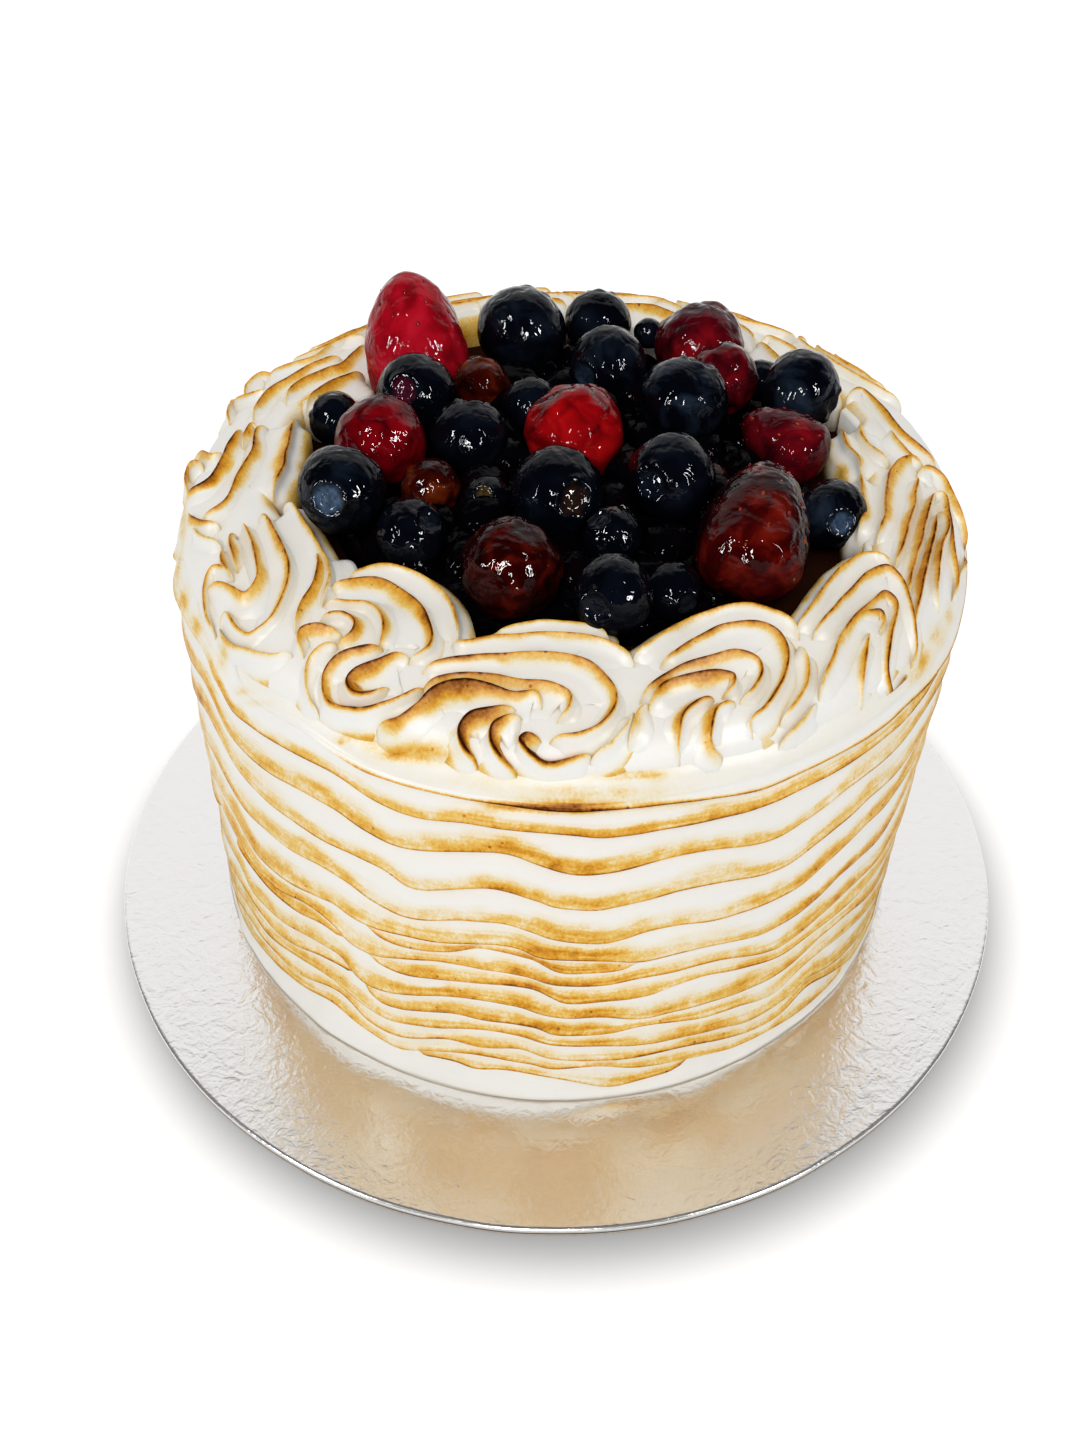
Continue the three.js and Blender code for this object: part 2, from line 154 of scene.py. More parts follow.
# Where the comb rode up on the far side: place in degrees, rise, half-width in degrees.
SWELLS = ((14, 5, 9), (44, 2.8, 7), (72, 4.2, 9), (102, 3, 7), (134, 5, 9), (172, 3.2, 8))

# The crest lines of the piped scrolls, as places in the camera's 1086 x 1448 frame on the border's
# crown. A rib falls steeply to the left of its line and gently to the right. Each line has its
# browning and the width of the gold beside it, mm.
CREST_LINES = {
    "left_back": (
        (0.45, 0.8, [[228, 416], [228, 406], [232, 399], [243, 394], [256, 390], [270, 386]]),
        (0.45, 1.0, [[244, 390], [246, 383], [262, 371], [285, 364], [312, 356], [338, 339], [368, 332]]),
        (0.75, 1.6, [[252, 412], [257, 403], [270, 387], [290, 375], [312, 363], [342, 352]]),
        (0.85, 1.8, [[284, 396], [298, 380], [328, 366], [340, 362], [354, 350], [367, 340]]),
        (0.85, 1.8, [[305, 399], [318, 389], [335, 379], [352, 373], [364, 368]]),
    ),
    "left": (
        (0.70, 1.2, [[186, 484], [185, 472], [189, 463], [203, 461]]),
        (0.75, 1.4, [[190, 459], [199, 450], [212, 452], [223, 446]]),
        (0.95, 2.2, [[183, 495], [190, 489], [208, 477], [220, 459], [228, 441], [242, 423]]),
        (0.80, 1.4, [[242, 439], [244, 431], [252, 422], [258, 423]]),
        (0.85, 1.6, [[198, 518], [222, 500], [238, 473], [252, 450], [257, 427], [267, 420]]),
        (1.00, 2.6, [[297, 413], [291, 428], [287, 447], [283, 464], [272, 487]]),
        (0.80, 0.9, [[187, 508], [190, 515], [206, 520], [219, 518]]),
        (0.45, 0.5, [[221, 541], [199, 533], [191, 523]]),
    ),
    "left_front": (
        (0.45, 0.9, [[281, 500], [289, 501], [303, 520], [316, 539], [327, 562], [328, 580], [320, 598]]),
        (0.75, 1.7, [[294, 626], [300, 602], [312, 583], [318, 563], [315, 547]]),
        (0.75, 1.3, [
            [257, 510], [263, 513], [281, 541], [288, 566], [283, 590], [267, 618], [250, 631],
            [237, 626], [223, 611], [217, 621],
        ]),
        (0.70, 1.6, [
            [203, 588], [216, 581], [231, 586], [245, 592], [257, 577], [255, 552], [245, 526],
            [241, 518],
        ]),
        (0.85, 1.2, [[237, 563], [231, 548], [231, 530], [236, 527]]),
        (0.75, 1.0, [[231, 571], [221, 558], [222, 542]]),
        (0.55, 0.7, [[214, 629], [205, 610], [204, 580], [212, 564], [225, 565], [232, 572]]),
        (0.35, 0.5, [[292, 647], [275, 652], [240, 646], [220, 631], [218, 620]]),
    ),
    "front_double": (
        (0.50, 0.7, [
            [345, 578], [360, 569], [382, 563], [405, 567], [430, 579], [448, 596], [457, 620],
            [457, 636],
        ]),
        (0.85, 2.4, [
            [328, 581], [350, 578], [378, 577], [402, 588], [420, 605], [431, 628], [428, 645],
            [407, 655],
        ]),
        (0.60, 1.8, [[377, 641], [383, 630], [382, 615], [368, 601], [345, 598], [322, 598]]),
        (0.75, 2.0, [[335, 638], [350, 633], [355, 621], [345, 612], [318, 612]]),
        (0.90, 2.6, [
            [390, 680], [372, 689], [353, 690], [346, 679], [353, 669], [380, 658], [396, 651],
            [411, 651],
        ]),
        (0.80, 1.7, [
            [425, 681], [400, 695], [367, 705], [338, 705], [324, 692], [323, 671], [336, 654],
            [358, 646], [383, 641],
        ]),
        (0.50, 0.7, [[318, 708], [308, 695], [305, 675], [309, 657], [320, 645], [338, 637]]),
        (0.75, 2.0, [[302, 650], [298, 638], [301, 627], [315, 622], [328, 625], [342, 629]]),
        (0.70, 1.5, [
            [421, 665], [453, 656], [500, 653], [549, 651], [585, 658], [609, 677], [616, 697],
            [604, 719], [584, 730], [549, 734],
        ]),
        (0.60, 0.9, [[451, 636], [465, 640], [500, 635], [550, 631], [590, 634], [620, 646], [635, 659]]),
        (0.40, 0.5, [[489, 634], [507, 627], [537, 621], [572, 620], [598, 626], [612, 638]]),
        (0.65, 1.3, [
            [421, 683], [453, 672], [490, 672], [520, 678], [552, 682], [570, 693], [568, 707],
            [556, 714],
        ]),
        (1.00, 2.5, [
            [375, 721], [398, 716], [416, 703], [434, 685], [462, 678], [487, 683], [512, 691],
            [537, 691], [542, 701],
        ]),
        (1.00, 3.0, [[478, 755], [464, 744], [459, 728], [468, 712], [490, 706], [518, 704]]),
        (0.85, 2.4, [[517, 766], [501, 754], [491, 738], [493, 724], [506, 716], [523, 711]]),
        (0.95, 2.8, [
            [593, 748], [570, 757], [545, 760], [530, 750], [519, 737], [525, 731], [542, 732],
        ]),
        (0.30, 0.6, [[635, 704], [627, 724], [611, 741], [590, 754]]),
    ),
    "front_right": (
        (0.50, 0.8, [
            [633, 653], [660, 636], [690, 617], [726, 606], [752, 603], [774, 609], [790, 617],
            [801, 630],
        ]),
        (0.55, 0.9, [[799, 639], [808, 659], [808, 679], [797, 699], [781, 715]]),
        (0.30, 0.6, [[820, 695], [808, 713], [792, 730], [780, 738]]),
        (0.85, 1.2, [
            [660, 661], [690, 641], [722, 625], [756, 621], [778, 630], [788, 650], [783, 678],
            [765, 705], [751, 721], [755, 730],
        ]),
        (0.80, 1.25, [
            [640, 693], [654, 681], [682, 664], [714, 654], [738, 649], [757, 656], [762, 668],
            [753, 686], [740, 695],
        ]),
        (0.85, 1.6, [[648, 706], [662, 683], [690, 673], [720, 669], [735, 673], [734, 682], [722, 689]]),
        (1.00, 1.7, [[716, 691], [697, 699], [684, 713], [680, 729], [679, 746], [681, 755]]),
        (0.85, 1.5, [[738, 696], [718, 706], [712, 722], [711, 740], [718, 750], [724, 748]]),
        (0.45, 1.6, [[628, 742], [633, 725], [640, 707], [652, 697]]),
    ),
    "right_front": (
        (0.65, 0.7, [
            [797, 623], [810, 607], [830, 578], [844, 564], [861, 552], [878, 550], [890, 556],
            [894, 563],
        ]),
        (0.80, 0.85, [
            [815, 630], [828, 613], [852, 587], [870, 569], [888, 564], [902, 577], [911, 601],
            [916, 627], [917, 649], [913, 659],
        ]),
        (0.70, 1.1, [
            [821, 692], [834, 653], [848, 623], [872, 600], [886, 589], [897, 598], [896, 617],
            [890, 643], [889, 671], [894, 691], [904, 681], [910, 667],
        ]),
        (0.75, 1.3, [[870, 625], [868, 645], [864, 675], [863, 703]]),
        (0.70, 0.8, [[858, 616], [868, 609], [882, 608], [885, 617], [881, 625]]),
    ),
    "right": (
        (0.70, 1.3, [[859, 525], [866, 508], [864, 489], [862, 476], [863, 468]]),
        (0.75, 1.8, [
            [879, 534], [885, 515], [887, 487], [892, 467], [903, 456], [914, 455], [927, 464],
        ]),
        (0.80, 1.8, [[919, 471], [917, 487], [914, 505], [906, 532], [897, 560]]),
        (0.65, 1.2, [
            [918, 469], [930, 466], [943, 475], [958, 503], [968, 536], [969, 555], [962, 569],
        ]),
        (0.75, 1.1, [[934, 487], [944, 492], [951, 512], [956, 550], [959, 580], [955, 590]]),
        (0.80, 1.6, [[935, 487], [928, 510], [921, 540], [912, 569], [909, 594]]),
        (0.70, 1.3, [[940, 504], [949, 518], [942, 545], [940, 568], [938, 590], [941, 604]]),
        (1.00, 1.8, [[938, 508], [935, 533], [926, 568], [920, 597], [917, 617]]),
    ),
    "right_back": (
        (0.80, 1.4, [[863, 466], [857, 452], [847, 441], [841, 422]]),
        (0.60, 1.4, [[891, 458], [876, 447], [862, 431], [861, 418]]),
        (0.60, 0.9, [[889, 424], [901, 442], [917, 458], [926, 464]]),
        (0.75, 1.0, [[848, 390], [862, 386], [885, 407], [903, 430], [928, 452], [938, 464]]),
    ),
    "back_right": (
        (0.50, 0.8, [[728, 318], [741, 325], [749, 331], [757, 340]]),
        (0.60, 1.2, [[757, 337], [765, 343], [775, 352], [788, 364]]),
        (0.50, 0.8, [[760, 337], [769, 335], [777, 338], [787, 343], [802, 352], [822, 366], [836, 378]]),
        (0.55, 1.2, [[800, 360], [815, 368], [828, 380], [836, 392]]),
    ),
    "back": (
        (0.70, 1.8, [[604, 303], [628, 302], [650, 303], [665, 308], [690, 320], [712, 334]]),
        (0.45, 0.8, [[596, 293], [616, 292], [640, 293], [665, 299], [690, 311], [714, 325]]),
        (0.60, 0.8, [[538, 300], [556, 298], [568, 305]]),
        (0.50, 0.8, [[524, 290], [545, 287], [560, 291], [577, 300]]),
    ),
    "back_left": (
        (0.60, 1.2, [[392, 318], [420, 306], [450, 300], [480, 300]]),
        (0.50, 0.8, [[388, 304], [418, 295], [452, 290], [486, 290]]),
    ),
}
# Plain arches down the far side, each as an outer and an inner rail of degrees and radius.
ARCH_PLACES = {"arch_right": 36, "arch_middle": 60, "arch": 84, "arch_left": 108, "arch_far_left": 132}
ARCH = (
    [[-12, 76], [-11, 72], [-6, 68.5], [1, 67.5], [7, 69], [10, 72], [10, 76]],
    [[-5, 76], [-5, 75], [-3, 74], [-1, 73], [1, 72.5], [3, 73.5], [3, 76]],
)
# The syrup mound's section, as [radius, height].
MOUND = [[46.5, 97.3], [45.5, 101], [40, 103.5], [28, 105.5], [0, 106.8]]

# The fruit: centre, radius, and where the crown or tip points as degrees round and up.
BLUEBERRIES = {
    "blueberry_back_left": ([-7.5, 47, 109], 9.4, [60, 35]),
    "blueberry_left_upper": ([-27.5, 18.2, 111.6], 7.7, [250, 35]),
    "blueberry_left_small": ([-44.5, 22.5, 103.6], 5.4, [170, 30]),
    "blueberry_middle_left": ([-17, 7, 109], 7.7, [80, 60]),
    "blueberry_middle_back": ([-5.5, 19.5, 108.2], 5.8, [100, 20]),
    "blueberry_back_right": ([8.6, 54.5, 106.7], 7.1, [80, 50]),
    "blueberry_back_middle": ([10.2, 33, 109], 8, [225, 5]),
    "blueberry_back_small": ([19.2, 51.5, 106], 3.2, [45, 20]),
    "blueberry_pale": ([24, 15.4, 112], 8.7, [40, 60]),
    "blueberry_far_right": ([47.5, 23.5, 108.8], 8.2, [330, -5]),
    "blueberry_far_small": ([42, 37, 103.4], 4.4, [30, 30]),
    "blueberry_middle_right": ([20, -10.3, 112], 8.1, [235, 20]),
    "blueberry_middle": ([-0.4, -12.8, 110], 8.7, [295, 25]),
    "blueberry_left": ([-39, -12.9, 111], 8.1, [255, 20]),
    "blueberry_front_left": ([-26.4, -20.2, 106.5], 6.7, [330, 50]),
    "blueberry_small_middle": ([-13.3, -9.8, 106.7], 4.5, [260, 50]),
    "blueberry_front": ([8.7, -39.8, 108.5], 7.1, [240, 15]),
    "blueberry_front_low": ([19.3, -33.5, 104.3], 5.4, [300, 10]),
    "blueberry_front_small": ([9.1, -24, 109], 5.5, [200, 60]),
    "blueberry_right": ([50, -10.4, 103.9], 6.5, [280, 20]),
}
# How far the waxy bloom shows through the glaze on a berry, where it isn't the usual amount.
USUAL_BLOOM = 0.18
BLOOMS = {
    "blueberry_pale": 0.9, "blueberry_far_right": 0.7, "blueberry_right": 0.8,
    "blueberry_back_middle": 0.55, "blueberry_back_left": 0.35, "blueberry_left": 0.4,
    # blueberry_front_low has no bloom: painted shade, so the low berry stays as dark as the gap round it
    "blueberry_front_low": 0.0, "blueberry_front": 0.08, "blueberry_front_left": 0.08,
}
# Colour inside a blueberry's crown, where it isn't almost as dark as the skin.
USUAL_CROWN = (0.006, 0.009, 0.016)
CROWNS = {
    "blueberry_left": (0.075, 0.13, 0.22), "blueberry_right": (0.05, 0.09, 0.16),
    "blueberry_back_middle": (0.02, 0.035, 0.06), "blueberry_left_upper": (0.08, 0.006, 0.02),
    "blueberry_small_middle": (0.08, 0.05, 0.015), "blueberry_middle": (0.03, 0.012, 0.006),
}
# Centre, radius, direction of the crown, finish.
ROUND_FRUIT = {
    "red_berry_left": ([-33.2, 3.1, 110.7], 8.5, [120, 55], "crimson"),
    "red_berry_middle": ([3, 6.1, 110], 9.5, [100, 60], "scarlet"),
    "red_berry_front": ([-8.6, -31.7, 107.8], 9, [120, 65], "wine"),
    "red_berry_back": ([29.5, 43, 107], 9.4, [60, 70], "wine_red"),
    "red_berry_back_low": ([32.8, 27.4, 109.4], 6.7, [30, 40], "wine_red"),
    "berry_piece_left": ([-23.7, -7.2, 107.6], 5.4, [60, 40], "amber"),
    "berry_piece_right": ([27.4, -2.3, 103.8], 5.2, [60, 40], "wine"),
    "berry_piece_back": ([-15.5, 26.4, 108.4], 5.8, [60, 40], "amber"),
}
# Broad end, radius, length, direction of the tip, finish.
STRAWBERRIES = {
    "strawberry_tall": ([-27.2, 32.4, 99.8], 10.4, 26.6, [106, 60], "rose"),
    "strawberry_large": ([31.5, -34.6, 104.4], 9.8, 27, [76, 22], "garnet"),
    "strawberry_right": ([49.6, 1.9, 106.6], 6.6, 18.4, [140, 7], "wine_red"),
}


# ------------------------------------------------------------------ settings


class PavlovaCakeSettings(bpy.types.PropertyGroup):
    """Sizes of the combed meringue."""

    radius: FloatProperty(name="Radius", description="Mean radius of the side, mm", default=77.0)
    top: FloatProperty(name="Top", description="Height of the flat top, mm", default=97.0)
    shoulder: FloatProperty(name="Shoulder", description="Rounding of the top edge, mm", default=7.0)
    foot: FloatProperty(name="Foot", description="Radius of the band at the base, mm", default=78.2)
    lean: FloatProperty(name="Lean", description="Shift of the top to the right, mm", default=2.4)
    lip: FloatProperty(name="Lip", description="How far a comb lip stands out, mm", default=1.0)
    wander: FloatProperty(name="Wander", description="Unevenness of the lips, mm", default=1.0)
    columns: IntProperty(name="Columns", description="Grid columns round the side", default=500)


class PavlovaPipingSettings(bpy.types.PropertyGroup):
    """Sizes of the piped scrolls."""

    ribs: IntProperty(name="Ribs", description="Ribs of a plain arch", default=3, min=2)
    valley: FloatProperty(name="Valley", description="Depth between two ribs, mm", default=2.2)
    crest: FloatProperty(name="Crest", description="Height of the crown inside, mm", default=106.2)
    brow: FloatProperty(name="Brow", description="Height of the crown at the edge, mm", default=97.4)
    flat: FloatProperty(name="Flat", description="The crown is level to this radius, mm", default=56.0)
    reach: FloatProperty(name="Reach", description="The crown ends at this radius, mm", default=78.0)
    step: FloatProperty(name="Step", description="Length of a grid cell along a rib, mm", default=0.45)


class PavlovaFruitSettings(bpy.types.PropertyGroup):
    """Finish of the glazed fruit."""

    navy: FloatVectorProperty(
        name="Blueberry skin", description="Skin under the glaze", subtype="COLOR",
        default=(0.0016, 0.0024, 0.0052), min=0, max=1,
    )
    bloom: FloatVectorProperty(
        name="Bloom", description="Waxy bloom of a blueberry", subtype="COLOR",
        default=(0.028, 0.044, 0.074), min=0, max=1,
    )
    glaze: FloatProperty(name="Glaze", description="Roughness of the glaze", default=0.018)
    dents: FloatProperty(name="Dents", description="Depth of the dents, parts of a radius", default=0.05)


class PavlovaCardSettings(bpy.types.PropertyGroup):
    """Sizes of the foil card."""

    radius: FloatProperty(name="Radius", description="Outer radius, mm", default=101.6)
    thickness: FloatProperty(name="Thickness", description="Thickness, mm", default=3.0)
    foil: FloatVectorProperty(
        name="Foil", description="Colour of the foil", subtype="COLOR",
        default=(0.99, 0.98, 0.965), min=0, max=1,
    )


class PavlovaStageSettings(bpy.types.PropertyGroup):
    """Light and camera."""

    pitch: FloatProperty(name="Pitch", description="Camera tilt below level, degrees", default=47.7)
    distance: FloatProperty(name="Distance", description="Camera to card centre, mm", default=354.0)
    sky: FloatProperty(name="Sky", description="Strength of the soft light", default=0.55)
    key: FloatProperty(name="Key", description="Strength of the broad lamp", default=1.25)
    floor: FloatProperty(name="Floor", description="Half width of the floor, m", default=4.0, unit="LENGTH")


GROUPS = {
    "pavlova_cake": PavlovaCakeSettings,
    "pavlova_piping": PavlovaPipingSettings,
    "pavlova_fruit": PavlovaFruitSettings,
    "pavlova_card": PavlovaCardSettings,
    "pavlova_stage": PavlovaStageSettings,
}


# ------------------------------------------------------------------ numbers in space


def lattice(place, seed):
    """A fixed number from -1 to 1 for each whole-number place.

    The three whole numbers are multiplied by large odd numbers, mixed with the seed by exclusive
    or, and shifted and multiplied twice more.
    """
    mask = np.uint64(0xFFFFFFFF)
    x, y, z = (place[..., k].astype(np.int64).astype(np.uint64) & mask for k in range(3))
    mixed = (x * np.uint64(73856093)) ^ (y * np.uint64(19349663)) ^ (z * np.uint64(83492791))
    mixed = (mixed ^ np.uint64(seed * 2654435761 % 4294967296)) & mask
    for shift, factor in ((15, 739982445), (12, 695872825)):
        mixed = ((mixed ^ (mixed >> np.uint64(shift))) * np.uint64(factor)) & mask
    mixed ^= mixed >> np.uint64(15)
    return (mixed & np.uint64(0xFFFFFF)).astype(float) / 0x7FFFFF - 1


def noise(place, seed=0):
    """Smooth value noise from -1 to 1.

    The numbers at the eight corners of a place's unit cell are blended by the quintic fade
    6t^5 - 15t^4 + 10t^3 along each axis.
    """
    cell = np.floor(place)
    t = place - cell
    fade = t * t * t * (t * (6 * t - 15) + 10)
    total = np.zeros(place.shape[:-1])
    for corner in range(8):
        step = np.array([corner & 1, corner >> 1 & 1, corner >> 2 & 1])
        weight = np.prod(np.where(step, fade, 1 - fade), axis=-1)
        total += weight * lattice(cell + step, seed)
    return total


def smooth(x, low=0.0, high=1.0):
    """Zero below low, one above high, and 3t^2 - 2t^3 between them."""
    t = np.clip((x - low) / (high - low), 0, 1)
    return t * t * (3 - 2 * t)


def bell(x, width):
    """The Gaussian exp(-(x / width)^2)."""
    return np.exp(-((x / width) ** 2))


def averaged(values, reach, width):
    """Numbers round a circle, each as the Gaussian-weighted mean of its neighbours within reach."""
    window = bell(np.arange(-reach, reach + 1), width)
    return np.convolve(np.pad(values, reach, mode="wrap"), window / window.sum(), mode="valid")


def turn_apart(a, b):
    """The turn in degrees from b to a, between -180 and 180."""
    return (a - b + 180) % 360 - 180


def pointing(turn):
    """The unit vector at so many degrees round from +X and up from level."""
    around, up = np.radians(turn)
    return np.array([np.cos(up) * np.cos(around), np.cos(up) * np.sin(around), np.sin(up)])


def axes_along(direction):
    """A 3 x 3 matrix whose columns are two unit vectors across a direction and the direction."""
    helper = np.array([0, 0, 1.0]) if abs(direction[2]) < 0.9 else np.array([1.0, 0, 0])
    across = np.cross(helper, direction)
    across /= np.linalg.norm(across)
    return np.stack([across, np.cross(direction, across), direction], axis=1)


def rail_curve(points, count):
    """Centripetal Catmull-Rom curve: cubic pieces through the points.

    A knot interval is the square root of the distance between two points, and the ends are
    carried on by mirroring their neighbours.
    """
    points = np.asarray(points, float)
    ends = np.vstack([2 * points[0] - points[1], points, 2 * points[-1] - points[-2]])
    spans = np.sqrt(np.linalg.norm(np.diff(ends, axis=0), axis=1))
    place = np.linspace(0, len(points) - 1, count)
    piece = np.minimum(place.astype(int), len(points) - 2)
    w = (place - piece)[:, None]
    a, b, c, d = (ends[piece + k] for k in range(4))
    d0, d1, d2 = (spans[piece + k][:, None] for k in range(3))
    leave = ((b - a) / d0 - (c - a) / (d0 + d1) + (c - b) / d1) * d1
    reach = ((c - b) / d1 - (d - b) / (d1 + d2) + (d - c) / d2) * d1
    square, cube = 3 * (c - b) - 2 * leave - reach, 2 * (b - c) + leave + reach
    return b + leave * w + square * w**2 + cube * w**3


def camera_axes():
    """The camera's place in millimetres and its unit vectors up and back."""
    stage = bpy.context.scene.pavlova_stage
    pitch = np.radians(stage.pitch)
    back = np.array([0, -np.cos(pitch), np.sin(pitch)])
    up = np.array([0, np.sin(pitch), np.cos(pitch)])
    return np.array([CAMERA_X, 0, CAMERA_AIM]) + back * stage.distance, up, back


def in_frame(points):
    """Columns and rows in the frame at which the camera sees some places."""
    eye, up, back = camera_axes()
    apart = points - eye
    deep = -(apart @ back)
    return FRAME_WIDTH / 2 + FOCAL * apart[..., 0] / deep, CAMERA_ROW - FOCAL * (apart @ up) / deep


def sight_lines(pixels):
    """The camera's place, and the directions from it through places in the frame."""
    column, row = np.array(pixels, float).T
    eye, up, back = camera_axes()
    across = np.outer(column - FRAME_WIDTH / 2, [1, 0, 0])
    return eye, across + np.outer(CAMERA_ROW - row, up) - back * FOCAL


# ------------------------------------------------------------------ meshes


def surface(points, caps=True, **values):
    """A skin of quads over a grid of points whose columns close into rings.

    points is rows x columns x 3. The first and last rows are closed by fans to their middle. If
    the skin encloses a negative volume its faces are turned round. values holds one number for
    each point, under its attribute's name.
    """
    rows, columns = points.shape[:2]
    i, j = np.meshgrid(np.arange(rows - 1), np.arange(columns), indexing="ij")
    k = (j + 1) % columns
    quads = np.stack([i * columns + j, i * columns + k, (i + 1) * columns + k, (i + 1) * columns + j], -1)
    quads = quads.reshape(-1, 4)
    verts = points.reshape(-1, 3)
    numbers = {name: np.broadcast_to(value, (rows, columns)).reshape(-1) for name, value in values.items()}
    tris = np.zeros((0, 3), int)
    if caps:
        ring = np.arange(columns)
        follow = (ring + 1) % columns
        low, high = len(verts), len(verts) + 1
        top = (rows - 1) * columns
        tris = np.concatenate([
            np.stack([np.full(columns, low), follow, ring], -1),
            np.stack([np.full(columns, high), top + ring, top + follow], -1),
        ])
        verts = np.vstack([verts, points[0].mean(0), points[-1].mean(0)])
        numbers = {
            name: np.concatenate([value, [value[:columns].mean(), value[-columns:].mean()]])
            for name, value in numbers.items()
        }
    corners = np.concatenate([quads[:, [0, 1, 2]], quads[:, [0, 2, 3]], tris])
    a, b, c = (verts[corners[:, n]] for n in range(3))
    if np.sum(a * np.cross(b, c)) < 0:
        quads, tris = quads[:, ::-1], tris[:, ::-1]
    return verts, quads, tris, numbers


def joined(parts):
    """Several skins as one, with their numbers under the same names."""
    shift = np.cumsum([0] + [len(part[0]) for part in parts])
    return (
        np.vstack([part[0] for part in parts]),
        np.vstack([part[1] + step for part, step in zip(parts, shift)]),
        np.vstack([part[2] + step for part, step in zip(parts, shift)]),
        {name: np.concatenate([part[3][name] for part in parts]) for name in parts[0][3]},
    )


def add_piece(name, skin, materials, nodes=(), chosen=None):
    """Puts a skin into a new object that rides on the part, and returns it.

    chosen gives each face the number of its material.
    """
    verts, quads, tris, numbers = skin
    mesh = bpy.data.meshes.new(name)
    mesh.vertices.add(len(verts))
    mesh.vertices.foreach_set("co", (verts * MM).astype(np.float32).ravel())
    corners = np.concatenate([quads.ravel(), tris.ravel()]).astype(np.int32)
    starts = np.concatenate([np.arange(len(quads)) * 4, len(quads) * 4 + np.arange(len(tris)) * 3])
    mesh.loops.add(len(corners))
    mesh.loops.foreach_set("vertex_index", corners)
    mesh.polygons.add(len(starts))
    mesh.polygons.foreach_set("loop_start", starts.astype(np.int32))
    mesh.polygons.foreach_set("use_smooth", np.ones(len(starts), bool))
    if chosen is not None:
        mesh.polygons.foreach_set("material_index", chosen.astype(np.int32))
    mesh.update(calc_edges=True)
    for key, value in numbers.items():
        layer = mesh.attributes.new(key, "FLOAT", "POINT")
        layer.data.foreach_set("value", value.astype(np.float32))
    mesh.validate()
    for material in materials:
        mesh.materials.append(material)
    piece = bpy.data.objects.new(name, mesh)
    bpy.context.scene.collection.objects.link(piece)
    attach(piece, BODY)
    if nodes:
        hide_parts(*nodes)
    return piece


# ------------------------------------------------------------------ materials


def add_node(tree, kind, inputs=(), **settings):
    """A node; inputs maps its sockets to numbers or to other nodes' sockets."""
    made = tree.nodes.new(kind)
    for key, value in settings.items():
        setattr(made, key, value)
    for key, value in dict(inputs).items():
        if isinstance(value, bpy.types.NodeSocket):
            tree.links.new(value, made.inputs[key])
        else:
            made.inputs[key].default_value = value
    return made


def add_ramp(tree, value, stops):
    """A colour ramp through (place, colour) stops."""
    made = add_node(tree, "ShaderNodeValToRGB", {"Fac": value})
    while len(made.color_ramp.elements) < len(stops):
        made.color_ramp.elements.new(0.5)
    for element, (place, colour) in zip(made.color_ramp.elements, stops):
        element.position = place
        element.color = (*colour, 1)
    return made.outputs["Color"]


def before_diffuse(tree):
    """The light path, and a factor that is one until light has met a matt surface."""
    path = add_node(tree, "ShaderNodeLightPath")
    depth = {0: path.outputs["Diffuse Depth"], 1: 0.5}
    return path, add_node(tree, "ShaderNodeMath", depth, operation="LESS_THAN").outputs[0]


class Shading:
    """A material's node tree with short ways to add to it."""

    def __init__(self, name):
        self.material = bpy.data.materials.new(name)
        self.material.use_nodes = True
        self.tree = self.material.node_tree
        self.tree.nodes.clear()
        self.shader = self.add("ShaderNodeBsdfPrincipled")
        output = self.add("ShaderNodeOutputMaterial")
        self.tree.links.new(self.shader.outputs["BSDF"], output.inputs["Surface"])
        self.place = self.add("ShaderNodeTexCoord").outputs["Object"]

    def add(self, kind, inputs=(), **settings):
        """A node of this material."""
        return add_node(self.tree, kind, inputs, **settings)

    def set(self, **sockets):
        """Sets the shader's sockets, named with underscores for spaces."""
        names = {socket.name.lower().replace(" ", "_"): socket for socket in self.shader.inputs}
        for key, value in sockets.items():
            if isinstance(value, bpy.types.NodeSocket):
                self.tree.links.new(value, names[key])
            else:
                names[key].default_value = value

    def number(self, name):
        """A mesh attribute."""
        return self.add("ShaderNodeAttribute", attribute_name=name).outputs["Fac"]

    def noise(self, size, detail=2.0, distortion=0.0, place=None):
        """Noise from 0 to 1 with features of about this size in millimetres."""
        inputs = {"Vector": place or self.place, "Scale": 1 / (size * MM)}
        inputs |= {"Detail": detail, "Distortion": distortion}
        return self.add("ShaderNodeTexNoise", inputs).outputs["Fac"]

    def math(self, operation, a, b=0.0, c=0.0, clamp=False):
        """The result of a sum or comparison of numbers or sockets."""
        made = self.add("ShaderNodeMath", {0: a, 1: b, 2: c}, operation=operation)
        made.use_clamp = clamp
        return made.outputs[0]

    def ramp(self, value, stops):
        """A colour ramp of this material."""
        return add_ramp(self.tree, value, stops)

    def mix(self, factor, a, b, blend="MIX"):
        """Colour a with colour b mixed in by a factor; each may be a socket."""
        a, b = (c if isinstance(c, bpy.types.NodeSocket) else (*c, 1) for c in (a, b))
        made = self.add("ShaderNodeMix", {0: factor, 6: a, 7: b}, data_type="RGBA", blend_type=blend)
        return made.outputs[2]

    def bump(self, height, strength, distance):
        """The normal of a relief whose height spans a distance in millimetres."""
        inputs = {"Height": height, "Strength": strength, "Distance": distance * MM}
        return self.add("ShaderNodeBump", inputs).outputs["Normal"]


